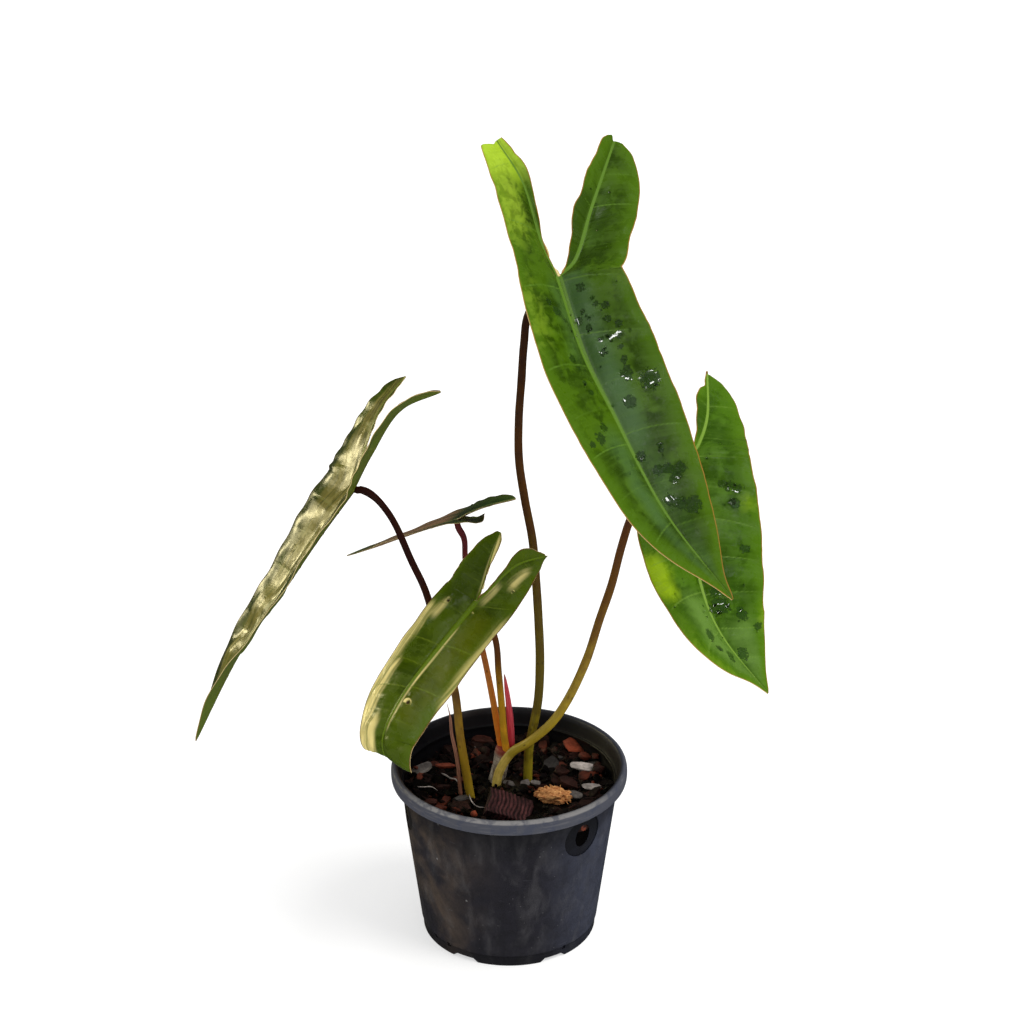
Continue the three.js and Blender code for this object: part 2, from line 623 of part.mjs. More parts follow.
// Rows of points from the tip over the sinus to a lobe's tip, shared along the midrib.
function bladeSheet(leaf) {
  const points = [];
  const triangles = [];
  const ribRow = [];
  const addPoint = (point) => points.push(point) - 1;
  const stations = [
    ...Array.from({ length: BLADE_ROWS + 1 }, (_, i) => -1 + i / BLADE_ROWS),
    ...Array.from({ length: LOBE_ROWS }, (_, i) => (i + 1) / LOBE_ROWS),
  ];
  const edges = {};
  for (const side of [-1, 1]) {
    const rows = stations.map((station, row) => BLADE_COLUMNS.map((reach) => {
      if (reach === 0 && station <= 0 && side === 1) return ribRow[row];
      const index = addPoint(bladePoint(leaf, side, station, reach));
      if (reach === 0 && side === -1) ribRow[row] = index;
      return index;
    }));
    const inner = rows.map((row, i) => (stations[i] <= 0 ? row[0]
      : addPoint(bladePoint(leaf, side, stations[i], -1))));
    for (let i = 0; i < rows.length - 1; i += 1) {
      for (let j = 0; j < BLADE_COLUMNS.length - 1; j += 1) {
        pushQuad(triangles, [rows[i][j], rows[i][j + 1], rows[i + 1][j + 1], rows[i + 1][j]], side > 0);
      }
      if (stations[i + 1] > 0) {
        pushQuad(triangles, [rows[i][0], rows[i + 1][0], inner[i + 1], inner[i]], side > 0);
      }
    }
    edges[side] = {
      tip: rows[0],
      outer: rows.map((row) => row[row.length - 1]),
      lobeTip: [...rows[rows.length - 1]].reverse(),
      inner: inner.slice(BLADE_ROWS).reverse(),
    };
  }
  return { points, triangles, edges };
}

function pushQuad(triangles, [a, b, c, d], forwards) {
  const faces = [[a, b, c], [a, c, d]];
  for (const [p, q, r] of faces) {
    if (p !== q && q !== r && r !== p) triangles.push(...(forwards ? [p, q, r] : [p, r, q]));
  }
}

// The sheet's outline: up the left margin, in and out of the sinus, and down the right margin.
function sheetOutline(edges) {
  const halfLoop = ({ tip, outer, lobeTip, inner }) => [...tip, ...outer, ...lobeTip, ...inner];
  const loop = [...halfLoop(edges[-1]), ...halfLoop(edges[1]).reverse()];
  return loop.filter((point, i) => point !== loop[(i + 1) % loop.length]);
}

// The blade as a thin closed solid: the sheet, its twin below, and a wall round the outline.
function makeBlade(leaf) {
  const { points, triangles, edges } = bladeSheet(leaf);
  const sheet = indexedGeometry(points, triangles);
  sheet.computeVertexNormals();
  const count = points.length;
  const shift = (direction) => points.map((point, i) => point.clone().addScaledVector(
    new THREE.Vector3().fromBufferAttribute(sheet.attributes.normal, i), (direction * BLADE_THICKNESS) / 2));
  const faces = [...triangles];
  for (let i = 0; i < triangles.length; i += 3) {
    faces.push(triangles[i] + count, triangles[i + 2] + count, triangles[i + 1] + count);
  }
  const outline = sheetOutline(edges);
  outline.forEach((here, i) => {
    const next = outline[(i + 1) % outline.length];
    faces.push(here, next + count, here + count, here, next, next + count);
  });
  return indexedGeometry([...shift(1), ...shift(-1)], faces);
}

// The petioles

// The petiole's last two points, on the line that goes straight down from the blade at its sinus.
function bladeSeat(leaf, run, seat) {
  const { place, normal } = ribFrame(leaf, 1, 0);
  const under = (distance) => place.clone().addScaledVector(normal, -distance);
  return [under(run), under(BLADE_THICKNESS / 2 + seat)];
}

function makePetiole(name) {
  const { route, radius, run, seat } = PETIOLES[name];
  const standing = STANDING[name];
  const foot = standing ? [buriedEnd(route[0], standing.towards)] : [];
  const points = [...foot, ...route.map(vector), ...bladeSeat(LEAVES[name], run, seat)];
  return rod(points, radius, Math.round(PETIOLE_STEPS * points.length), PETIOLE_SIDES);
}

// A rod given by its route, radii, steps and sides.
function plainRod({ route, radii, steps, sides }) {
  return rod(route.map(vector), radii, steps, sides);
}

// The assembly

function material(colour, surface) {
  return new THREE.MeshStandardMaterial({ color: colour, ...surface });
}

function named(name, geometry, colour, surface) {
  const mesh = new THREE.Mesh(geometry, material(colour, surface));
  mesh.name = name;
  return mesh;
}

const plant = new THREE.Group();
plant.name = 'potted_philodendron_billietiae';
plant.add(named('pot', makePot(), COLOURS.pot, SURFACES.pot));
plant.add(named('soil', makeSoil(), COLOURS.soil, SURFACES.rough));
plant.add(named('bark_block', barkBlock(), COLOURS.bark, SURFACES.rough));
plant.add(named('husk_chunk', huskChunk(), COLOURS.husk, SURFACES.rough));
plant.add(named('crown', makeCrown(), COLOURS.crown, SURFACES.rough));
plant.add(named('new_leaf_sheath', plainRod(NEW_LEAF), COLOURS.newLeaf, SURFACES.stem));
plant.add(named('dry_sheath', plainRod(DRY_SHEATH), COLOURS.drySheath, SURFACES.rough));
for (const [name, leaf] of Object.entries(LEAVES)) {
  plant.add(named(`petiole_${name}`, makePetiole(name), PETIOLES[name].colour, SURFACES.stem));
  plant.add(named(`leaf_${name}`, makeBlade(leaf), leaf.colour, SURFACES.leaf));
}

export default plant;
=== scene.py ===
"""A young Philodendron billietiae in a black nursery pot, dressed for rendering.

Sizes are written in millimetres, as on a drawing, and become metres where a mesh is shaped. Blades are
described in their own coordinates: how far along the rib from the sinus (towards the tip, or back up a
lobe where negative), and how far across from the rib.
"""

import logging
import math
from collections.abc import Iterator
from contextlib import contextmanager
from dataclasses import dataclass, field
from enum import Enum
from functools import cache

import bpy
import numpy as np
from mathutils import Matrix, Vector


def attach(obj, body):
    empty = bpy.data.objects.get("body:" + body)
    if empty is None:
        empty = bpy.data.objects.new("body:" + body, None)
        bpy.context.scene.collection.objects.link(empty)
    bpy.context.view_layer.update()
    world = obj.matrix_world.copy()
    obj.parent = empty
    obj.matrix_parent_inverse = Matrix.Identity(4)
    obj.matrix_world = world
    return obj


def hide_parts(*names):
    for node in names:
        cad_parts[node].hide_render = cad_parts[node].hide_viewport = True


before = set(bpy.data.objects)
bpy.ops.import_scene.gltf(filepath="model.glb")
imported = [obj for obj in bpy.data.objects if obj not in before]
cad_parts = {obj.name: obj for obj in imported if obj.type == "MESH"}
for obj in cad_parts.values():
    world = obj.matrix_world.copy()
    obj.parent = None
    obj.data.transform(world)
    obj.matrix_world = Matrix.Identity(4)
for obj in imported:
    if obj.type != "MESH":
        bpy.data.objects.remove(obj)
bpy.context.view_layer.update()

LOG = logging.getLogger("plant")
MM = 0.001
BODY = "root"
# The outer radius of the pot's wall where it would meet the ground, and how much it widens for each
# millimetre upwards.
WALL_FOOT = 56.7
WALL_SLOPE = 0.1285

Array = np.ndarray
Piece = bpy.types.Object
Material = bpy.types.Material
Tree = bpy.types.NodeTree
Node = bpy.types.Node
Socket = bpy.types.NodeSocket
Point = tuple[float, float, float]
Spot = tuple[float, float, float, float]
Numbers = tuple[float, ...]
Route = tuple[Point, ...]
Colour = tuple[float, float, float, float]


# Numbers and curves


def unit(vectors: Array) -> Array:
    """Scale vectors to length one.

    Args:
        vectors: Vectors along the last axis.

    Returns:
        The same directions, each of length one.
    """
    return vectors / np.maximum(np.linalg.norm(vectors, axis=-1, keepdims=True), 1e-12)


def smoothstep(value: Array, low: float, high: float) -> Array:
    """Ease from 0 to 1 as a value goes from low to high.

    Args:
        value: The values.
        low: Where the result leaves 0.
        high: Where the result reaches 1.

    Returns:
        The eased share for each value.
    """
    t = np.clip((np.asarray(value, float) - low) / (high - low), 0, 1)
    return t * t * (3 - 2 * t)


def catmull_rom(points: Array, share: Array) -> Array:
    """Read a smooth curve through points, with its parameter even between them.

    Args:
        points: The points that the curve goes through.
        share: Places along the curve, from 0 to 1.

    Returns:
        One point for each place.
    """
    last = len(points) - 1
    place = np.clip(share, 0, 1) * last
    i = np.clip(np.floor(place).astype(int), 0, last - 1)
    f = (place - i)[:, None]
    ends = np.vstack([2 * points[0] - points[1], points, 2 * points[-1] - points[-2]])
    a, b, c, d = ends[i], ends[i + 1], ends[i + 2], ends[i + 3]
    return 0.5 * (2 * b + (c - a) * f + (2 * a - 5 * b + 4 * c - d) * f**2 + (3 * b - a - 3 * c + d) * f**3)


def smooth_through(stations: Numbers, values: Array, at: Array) -> Array:
    """Read a smooth curve through values given at some stations.

    Args:
        stations: Where the values are given, in rising order.
        values: A number or a vector for each station.
        at: Where the curve is read.

    Returns:
        The value at each place.
    """
    x = np.asarray(stations, float)
    y = np.asarray(values, float)
    flat = y.ndim == 1
    y = y[:, None] if flat else y
    slope = (y[1:] - y[:-1]) / (x[1:] - x[:-1])[:, None]
    tangent = np.vstack([slope[:1], (slope[1:] + slope[:-1]) / 2, slope[-1:]])
    here = np.clip(at, x[0], x[-1])
    i = np.clip(np.searchsorted(x, here, side="right") - 1, 0, len(x) - 2)
    span = (x[i + 1] - x[i])[:, None]
    t = (here - x[i])[:, None] / span
    out = ((2 * t**3 - 3 * t**2 + 1) * y[i] + (t**3 - 2 * t**2 + t) * span * tangent[i]
           + (3 * t**2 - 2 * t**3) * y[i + 1] + (t**3 - t**2) * span * tangent[i + 1])
    return out[:, 0] if flat else out


def even_route(points: Route, step: float) -> Array:
    """Follow a smooth route through points in even steps.

    Args:
        points: The points that the route goes through.
        step: The length of a step.

    Returns:
        Points along the route, both ends included.
    """
    p = np.asarray(points, float)
    ends = np.vstack([2 * p[0] - p[1], p, 2 * p[-1] - p[-2]])
    pieces = []
    for k in range(len(p) - 1):
        a, b, c, d = ends[k:k + 4]
        before, here, after = (max(np.linalg.norm(v) ** 0.5, 1e-4) for v in (b - a, c - b, d - c))
        start = ((b - a) / before - (c - a) / (before + here) + (c - b) / here) * here
        end = ((c - b) / here - (d - b) / (here + after) + (d - c) / after) * here
        t = np.linspace(0, 1, 60, endpoint=k == len(p) - 2)[:, None]
        pieces.append(b + start * t + (3 * (c - b) - 2 * start - end) * t**2 + (2 * (b - c) + start + end) * t**3)
    fine = np.vstack(pieces)
    run = np.concatenate([[0], np.cumsum(np.linalg.norm(np.diff(fine, axis=0), axis=1))])
    count = max(int(round(run[-1] / step)), 4)
    at = np.linspace(0, run[-1], count + 1)
    return np.stack([np.interp(at, run, fine[:, axis]) for axis in range(3)], axis=1)


class Relief:
    """A smooth random field in space, the same in each run, between about -1 and 1."""

    def __init__(self, seed: int) -> None:
        """Draw the lattice of values that the field is read from."""
        self.lattice = np.random.default_rng(seed).uniform(-1, 1, (32, 32, 32))

    def read(self, points: Array, size: float) -> Array:
        """Read the field at points.

        Args:
            points: Where the field is read.
            size: How far apart its bumps are, in the points' unit.

        Returns:
            One value for each point.
        """
        place = np.asarray(points, float) / size
        low = np.floor(place).astype(int)
        t = place - low
        t = t * t * (3 - 2 * t)
        total = np.zeros(len(place))
        for corner in np.ndindex(2, 2, 2):
            weight = np.prod(np.where(np.array(corner) == 1, t, 1 - t), axis=1)
            x, y, z = ((low + corner) % 32).T
            total += weight * self.lattice[x, y, z]
        return total

    def rough(self, points: Array, size: float, octaves: int = 3) -> Array:
        """Read the field with finer and fainter bumps added.

        Args:
            points: Where the field is read.
            size: How far apart the largest bumps are.
            octaves: How many sizes of bump are added up.

        Returns:
            One value for each point.
        """
        return sum(self.read(points + 7.3 * k * size, size / 2**k) / 2**k for k in range(octaves))


# Meshes


def pick(obj: Piece, *others: Piece) -> None:
    """Select only the given objects and make the first one active."""
    bpy.ops.object.select_all(action="DESELECT")
    for each in (obj, *others):
        each.select_set(True)
    bpy.context.view_layer.objects.active = obj


def apply_modifier(obj: Piece, kind: str, **settings: object) -> None:
    """Add a modifier and apply it.

    Args:
        obj: The object.
        kind: Blender's name of the modifier's type.
        **settings: Values for the modifier.
    """
    pick(obj)
    modifier = obj.modifiers.new(kind.title(), kind)
    for name, value in settings.items():
        setattr(modifier, name, value)
    bpy.ops.object.modifier_apply(modifier=modifier.name)


@contextmanager
def editing(obj: Piece) -> Iterator[None]:
    """Open an object in edit mode with all of it selected, and close it again."""
    pick(obj)
    bpy.ops.object.mode_set(mode="EDIT")
    bpy.ops.mesh.select_all(action="SELECT")
    yield
    bpy.ops.object.mode_set(mode="OBJECT")


def added(name: str) -> Piece:
    """Name the object that was added last, and return it."""
    obj = bpy.context.object
    obj.name = obj.data.name = name
    return obj


def placed_in_scene(name: str, data: bpy.types.ID) -> Piece:
    """Put a camera or a light into the scene and return its object."""
    obj = bpy.data.objects.new(name, data)
    bpy.context.collection.objects.link(obj)
    return obj


def weld(obj: Piece, distance: float, outwards: bool = False) -> None:
    """Merge vertices that lie in one place.

    Args:
        obj: The object.
        distance: How near vertices are merged, in metres.
        outwards: Whether the normals are then turned outwards.
    """
    with editing(obj):
        bpy.ops.mesh.remove_doubles(threshold=distance)
        if outwards:
            bpy.ops.mesh.normals_make_consistent(inside=False)


def read_points(obj: Piece) -> Array:
    """Read a mesh's vertices in millimetres."""
    flat = np.empty(3 * len(obj.data.vertices))
    obj.data.vertices.foreach_get("co", flat)
    return flat.reshape(-1, 3) / MM


def write_points(obj: Piece, points: Array) -> None:
    """Move a mesh's vertices to places given in millimetres."""
    obj.data.vertices.foreach_set("co", (points * MM).ravel())
    obj.data.update()


def read_normals(obj: Piece) -> Array:
    """Read a mesh's vertex normals."""
    flat = np.empty(3 * len(obj.data.vertices))
    obj.data.vertex_normals.foreach_get("vector", flat)
    return flat.reshape(-1, 3)


def write_field(obj: Piece, name: str, values: Array) -> None:
    """Store a number or a vector on each vertex of a mesh.

    Args:
        obj: The object.
        name: The attribute's name.
        values: One number, or one row of three, for each vertex.
    """
    vector = values.ndim == 2
    attribute = obj.data.attributes.get(name)
    if attribute is None:
        attribute = obj.data.attributes.new(name, "FLOAT_VECTOR" if vector else "FLOAT", "POINT")
    attribute.data.foreach_set("vector" if vector else "value", np.ascontiguousarray(values, np.float32).ravel())


def read_field(obj: Piece, name: str) -> Array:
    """Read a vector attribute of a mesh's vertices."""
    flat = np.empty(3 * len(obj.data.vertices), np.float32)
    obj.data.attributes[name].data.foreach_get("vector", flat)
    return flat.reshape(-1, 3)


def write_tone(obj: Piece, tone: Point) -> None:
    """Give all of a mesh the three tones that the potting mix reads."""
    write_field(obj, "tone", np.tile(np.array(tone, float), (len(obj.data.vertices), 1)))


def write_uv(obj: Piece, uv: Array) -> None:
    """Give a mesh a UV map from one pair of numbers for each vertex."""
    layer = obj.data.uv_layers.active or obj.data.uv_layers.new(name="UVMap")
    corner = np.empty(len(obj.data.loops), np.int32)
    obj.data.loops.foreach_get("vertex_index", corner)
    layer.data.foreach_set("uv", uv[corner].astype(np.float32).ravel())


def sheet(name: str, points: Array) -> Piece:
    """Shape a grid of faces through rows of points.

    Args:
        name: The object's name.
        points: Rows of points in millimetres, as rows x columns x 3.

    Returns:
        The new object. Its faces' normals are column direction x row direction.
    """
    rows, columns = points.shape[:2]
    bpy.ops.mesh.primitive_grid_add(x_subdivisions=columns - 1, y_subdivisions=rows - 1, size=1)
    obj = added(name)
    write_points(obj, points.reshape(-1, 3))
    return obj


def join(name: str, pieces: list[Piece]) -> Piece:
    """Join objects into one.

    Args:
        name: The joined object's name.
        pieces: The objects.

    Returns:
        The joined object.
    """
    pick(*pieces)
    if len(pieces) > 1:
        bpy.ops.object.join()
    return added(name)


def shade(obj: Piece, angle: float = 180) -> None:
    """Shade a mesh smooth, except over edges sharper than an angle in degrees."""
    pick(obj)
    if angle >= 180:
        bpy.ops.object.shade_smooth()
    else:
        bpy.ops.object.shade_smooth_by_angle(angle=math.radians(angle))


def finish_piece(obj: Piece, material: Material, nodes: tuple[str, ...] = (), angle: float = 180) -> Piece:
    """Dress a piece, and tell the frame what it is.

    Args:
        obj: The piece.
        material: Its material.
        nodes: The CAD nodes that it stands for.
        angle: Edges sharper than this many degrees stay sharp.

    Returns:
        The piece.
    """
    shade(obj, angle)
    obj.data.materials.clear()
    obj.data.materials.append(material)
    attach(obj, BODY)
    if nodes:
        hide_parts(*nodes)
    LOG.info("%s: %d vertices", obj.name, len(obj.data.vertices))
    return obj


def tube(name: str, route: Array, radii: Array, sides: int, flatten: float = 1.0) -> Piece:
    """Make a closed round rod along a route, with UVs of millimetres round and along it.

    Args:
        name: The object's name.
        route: Points along the rod's middle, in millimetres.
        radii: Its radius at each point.
        sides: How many faces go round it.
        flatten: The share of its thickness that it keeps from front to back.

    Returns:
        The rod, with an attribute "stalk" of (share along, millimetres along, angle round).
    """
    tangent = unit(np.gradient(route, axis=0))
    side = np.cross(tangent[0], [0, 1, 0])
    sideways = np.empty_like(route)
    for k, direction in enumerate(tangent):
        side = side - direction * (side @ direction)
        side = side / np.linalg.norm(side)
        sideways[k] = side
    other = np.cross(tangent, sideways)
    angle = np.linspace(0, 2 * math.pi, sides + 1)
    ring = (np.cos(angle)[None, :, None] * sideways[:, None, :]
            + flatten * np.sin(angle)[None, :, None] * other[:, None, :])
    points = route[:, None, :] + radii[:, None, None] * ring
    points[:, -1] = points[:, 0]
    start = np.repeat(route[:1], sides + 1, axis=0)[None]
    end = np.repeat(route[-1:], sides + 1, axis=0)[None]
    points = np.concatenate([start, points, end])
    rows = len(points)
    run = np.concatenate([[0], np.cumsum(np.linalg.norm(np.diff(route, axis=0), axis=1))])
    run = np.concatenate([run[:1], run, run[-1:]])
    obj = sheet(name, points)
    around = np.tile(angle, rows)
    along = np.repeat(run, sides + 1)
    reach = float(radii.max())
    write_uv(obj, np.stack([around * reach * MM, along * MM], axis=1))
    write_field(obj, "stalk", np.stack([along / run[-1], along, around], axis=1))
    weld(obj, 1e-7, outwards=True)
    return obj


def spun(name: str, profile: list[tuple[float, float]], steps: int) -> Piece:
    """Turn a profile about the Z axis into a round body.

    Args:
        name: The object's name.
        profile: Pairs of radius and height in millimetres, from the axis and back to it.
        steps: How many faces go round it.

    Returns:
        The round body, closed at its axis.
    """
    bpy.ops.mesh.primitive_plane_add(size=MM)
    obj = added(name)
    spots = [Vector((radius * MM, 0, height * MM)) for radius, height in profile]
    with editing(obj):
        bpy.ops.mesh.merge(type="CENTER")
        bpy.ops.transform.translate(value=spots[0])
        for here, there in zip(spots, spots[1:]):
            bpy.ops.mesh.extrude_vertices_move(TRANSFORM_OT_translate={"value": there - here})
        bpy.ops.mesh.select_all(action="SELECT")
        bpy.ops.mesh.spin(steps=steps, angle=2 * math.pi, center=(0, 0, 0), axis=(0, 0, 1))
    weld(obj, 1e-6, outwards=True)
    return obj


def scatter(name: str, shapes: list[Piece], places: list[tuple[int, Matrix, Point]]) -> Piece:
    """Copy shapes to places and join the copies into one piece. The shapes themselves are removed.

    Args:
        name: The piece's name.
        shapes: The shapes to copy, modelled in metres at the origin.
        places: For each copy the number of its shape, its placing matrix, and three tones that its
            material reads.

    Returns:
        The joined copies, with the tones in the attribute "tone".
    """
    copies = []
    for which, matrix, tone in places:
        copy = shapes[which].copy()
        copy.data = shapes[which].data.copy()
        copy.data.transform(matrix)
        bpy.context.collection.objects.link(copy)
        write_tone(copy, tone)
        copies.append(copy)
    piece = join(name, copies)
    for shape in shapes:
        bpy.data.objects.remove(shape)
    return piece


def cut(obj: Piece, cutter: Piece) -> None:
    """Cut an object with another one, which is then removed."""
    apply_modifier(obj, "BOOLEAN", operation="DIFFERENCE", solver="EXACT", object=cutter)
    bpy.data.objects.remove(cutter)


# Shader graphs


def tint(red: int, green: int, blue: int) -> Colour:
    """Turn a screen colour into the linear colour that shaders use.

    Args:
        red: Red, from 0 to 255.
        green: Green, from 0 to 255.
        blue: Blue, from 0 to 255.

    Returns:
        The linear colour with full alpha.
    """
    linear = [(c / 255 / 12.92) if c <= 10 else ((c / 255 + 0.055) / 1.055) ** 2.4 for c in (red, green, blue)]
    return (*linear, 1.0)


class Graph:
    """Adds nodes to a shader tree, each with its inputs linked or set in one call."""

    def __init__(self, tree: Tree) -> None:
        """Keep the tree that nodes are added to."""
        self.tree = tree

    def add(self, kind: str, inputs: dict[str | int, object] | None = None, **settings: object) -> Node:
        """Add a node.

        Args:
            kind: Blender's name of the node's type.
            inputs: Sockets to link or values to set, by the input's name or number.
            **settings: Properties of the node.

        Returns:
            The new node.
        """
        node = self.tree.nodes.new(kind)
        for name, value in settings.items():
            setattr(node, name, value)
        self.feed(node, inputs or {})
        return node

    def feed(self, node: Node, inputs: dict[str | int, object]) -> None:
        """Link or set a node's inputs, given by number or by name."""
        for name, value in inputs.items():
            if isinstance(value, Socket):
                self.tree.links.new(value, node.inputs[name])
            else:
                node.inputs[name].default_value = value

    def math(self, operation: str, a: object, b: object = 0.0, c: object = 0.0) -> Socket:
        """Add a Math node and return its result."""
        return self.add("ShaderNodeMath", {0: a, 1: b, 2: c}, operation=operation).outputs[0]

    def times(self, a: object, b: object) -> Socket:
        """Return a times b."""
        return self.math("MULTIPLY", a, b)

    def plus(self, a: object, b: object) -> Socket:
        """Return a plus b."""
        return self.math("ADD", a, b)

    def minus(self, a: object, b: object) -> Socket:
        """Return a minus b."""
        return self.math("SUBTRACT", a, b)

    def linear(self, value: object, slope: object, start: object) -> Socket:
        """Return the value times the slope, plus the start."""
        return self.math("MULTIPLY_ADD", value, slope, start)

    def stray(self, value: object, pattern: object, amount: float) -> Socket:
        """Shift a value by a pattern from 0 to 1, up to half the amount either way."""
        return self.linear(self.minus(pattern, 0.5), amount, value)

    def over(self, mask: object, share: object, base: object, coat: object) -> Socket:
        """Lay a share of a coat over a base colour where the mask is, and return the colour."""
        return self.mix(self.times(mask, share), base, coat)

    def mix(self, share: object, a: object, b: object, blend: str = "MIX") -> Socket:
        """Mix two colours and return the mixture."""
        node = self.add("ShaderNodeMix", {0: share, 6: a, 7: b}, data_type="RGBA", blend_type=blend)
        return node.outputs[2]

    def ramp(self, value: object, low: object, high: object, start: object = 0.0, end: object = 1.0) -> Socket:
        """Ease from start to end as a value goes from low to high, and return the result."""
        inputs = {"Value": value, "From Min": low, "From Max": high, "To Min": start, "To Max": end}
        return self.add("ShaderNodeMapRange", inputs, interpolation_type="SMOOTHSTEP").outputs[0]

    def noise(self, vector: object, scale: float, detail: float = 2.0, roughness: float = 0.5,
              distortion: float = 0.0) -> Socket:
        """Add a Noise Texture and return its value."""
        inputs = {"Vector": vector, "Scale": scale, "Detail": detail, "Roughness": roughness,
                  "Distortion": distortion}
        return self.add("ShaderNodeTexNoise", inputs).outputs[0]

    def place(self, vector: object, scale: Point, rotation: Point = (0, 0, 0)) -> Socket:
        """Stretch and turn a pattern's coordinates and return them."""
        return self.add("ShaderNodeMapping", {"Vector": vector, "Scale": scale, "Rotation": rotation}).outputs[0]

    def attribute(self, name: str) -> tuple[Socket, ...]:
        """Read a vector attribute and return its three parts."""
        node = self.add("ShaderNodeAttribute", attribute_name=name)
        return tuple(self.add("ShaderNodeSeparateXYZ", {0: node.outputs["Vector"]}).outputs)

    def coordinates(self) -> tuple[Socket, Socket]:
        """Return the piece's object coordinates and its UV map."""
        node = self.add("ShaderNodeTexCoord")
        return node.outputs["Object"], node.outputs["UV"]

    def mottle(self, vector: object, scale: float, low: float, high: float) -> Socket:
        """Place the shared soft patches and return their factor."""
        inputs = {"Vector": vector, "Scale": scale, "Low": low, "High": high}
        return self.add("ShaderNodeGroup", inputs, node_tree=Effects.mottle()).outputs[0]

    def specks(self, vector: object, scale: float, size: float, share: float) -> Socket:
        """Place the shared sparse specks and return their mask."""
        inputs = {"Vector": vector, "Scale": scale, "Size": size, "Share": share}
        return self.add("ShaderNodeGroup", inputs, node_tree=Effects.specks()).outputs[0]


class Surface(Graph):
    """A new material with its Principled shader."""

    def __init__(self, name: str) -> None:
        """Make the material with a Principled shader and its output."""
        self.material = bpy.data.materials.new(name)
        self.material.use_nodes = True
        super().__init__(self.material.node_tree)
        self.tree.nodes.clear()
        self.shader = self.add("ShaderNodeBsdfPrincipled")
        self.add("ShaderNodeOutputMaterial", {"Surface": self.shader.outputs[0]})

    def dress(self, **inputs: object) -> Material:
        """Set the shader's inputs, named with spaces as underscores.

        Args:
            **inputs: Sockets to link or values to set.

        Returns:
            The finished material.
        """
        self.feed(self.shader, {name.replace("_", " "): value for name, value in inputs.items()})
        return self.material

    def bump(self, height: object, distance: float, strength: float = 1.0, normal: object = None) -> Socket:
        """Add a Bump node and return its normal. The distance is in millimetres."""
        inputs = {"Height": height, "Distance": distance * MM, "Strength": strength}
        if normal is not None:
            inputs["Normal"] = normal
        return self.add("ShaderNodeBump", inputs).outputs[0]


class Effects:
    """Node groups for effects that several materials share, each built once."""

    @staticmethod
    def _start(name: str, output: str, **values: float) -> tuple[Graph, Node, Node]:
        """Start a node group.

        Args:
            name: The group's name.
            output: The name of its output.
            **values: Its inputs after Vector, with the value of each.

        Returns:
            The group's graph, its input node and its output node.
        """
        tree = bpy.data.node_groups.new(name, "ShaderNodeTree")
        tree.interface.new_socket("Vector", in_out="INPUT", socket_type="NodeSocketVector")
        for label, value in values.items():
            tree.interface.new_socket(label, in_out="INPUT", socket_type="NodeSocketFloat").default_value = value
        tree.interface.new_socket(output, in_out="OUTPUT", socket_type="NodeSocketFloat")
        graph = Graph(tree)
        return graph, graph.add("NodeGroupInput"), graph.add("NodeGroupOutput")

    @staticmethod
    @cache
    def mottle() -> Tree:
        """Build the group that makes soft patches: Vector, Scale, Low and High give Factor."""
        graph, start, end = Effects._start("mottle", "Factor", Scale=60.0, Low=0.4, High=0.6)
        broad = graph.noise(start.outputs["Vector"], start.outputs["Scale"], 4.0, 0.6, 0.4)
        graph.feed(end, {"Factor": graph.ramp(broad, start.outputs["Low"], start.outputs["High"])})
        return graph.tree

    @staticmethod
    @cache
    def specks() -> Tree:
        """Build the group that makes sparse specks: Vector, Scale, Size and Share give Mask."""
        graph, start, end = Effects._start("specks", "Mask", Scale=200.0, Size=0.2, Share=0.3)
        cells = graph.add("ShaderNodeTexVoronoi", {
            "Vector": start.outputs["Vector"], "Scale": start.outputs["Scale"], "Randomness": 1.0})
        number = graph.add("ShaderNodeSeparateColor", {0: cells.outputs["Color"]}).outputs[0]
        chosen = graph.math("LESS_THAN", number, start.outputs["Share"])
        near = graph.ramp(cells.outputs["Distance"], start.outputs["Size"], 0.0)
        graph.feed(end, {"Mask": graph.times(chosen, near)})
        return graph.tree


# The leaves


class Side(Enum):
    """The two halves of a blade, seen from above with its tip down."""

    LEFT = -1
    RIGHT = 1


class Paint(Enum):
    """What a zone of a blade is coloured with, and where its strength is stored."""

    # Yellow-green patches: partly the blade's own yellowing, partly painted light shining through the blade.
    YELLOW = 0
    # On leaves C and E a painted warm glare; on leaf D the tan of the blade.
    GOLD = 1
    # A painted sheen: the sky's reflection on the glossy blade.
    HAZE = 2
    DARK = 3


COARSE = (-1, -0.95, -0.85, -0.7, -0.5, -0.3, -0.1, 0, 0.2, 0.5, 0.8, 0.94, 1)
FINE = (-1, -0.95, -0.85, -0.78, -0.7, -0.6, -0.5, -0.4, -0.3, -0.2, -0.1, 0, 0.1, 0.2, 0.3, 0.4, 0.5, 0.6,
        0.7, 0.8, 0.86, 0.9, 0.94, 0.97, 1)
COARSE_LOBE = (0, 0.1, 0.3, 0.6, 0.85, 0.95, 1)
FINE_LOBE = (0, 0.1, 0.2, 0.3, 0.4, 0.5, 0.6, 0.7, 0.8, 0.86, 0.9, 0.94, 0.97, 1)


@dataclass(frozen=True)
class Lobe:
    """One half of a blade: its basal lobe's rib, its outline, how it folds, and its side veins."""

    rib: Route
    outer: Numbers
    """The widths from the rib to the margin, at the stations of outer_at."""
    inner: Numbers
    """The widths from the lobe's rib to its inner edge, at the stations of inner_at."""
    fold: Numbers
    """How far the half folds up, in degrees, at the stations of fold_at."""
    inner_fold: float
    laterals: tuple[Point, ...]
    """For each side vein its place along the rib, its lean towards the tip, and its strength."""
    outer_at: Numbers = COARSE
    inner_at: Numbers = COARSE_LOBE
    fold_at: Numbers = (-1, 0, 1)
    hooks: tuple[Point, ...] = ()
    """Ragged points at the lobe's end: where they are across, how wide, and how long."""


@dataclass(frozen=True)
class Zone:
    """A soft patch of colour on one half of a blade."""

    paint: Paint
    side: Side
    along: tuple[float, float]
    reach: tuple[float, float]
    strength: float
    soft: float = 8.0
    edge: float = 0.12


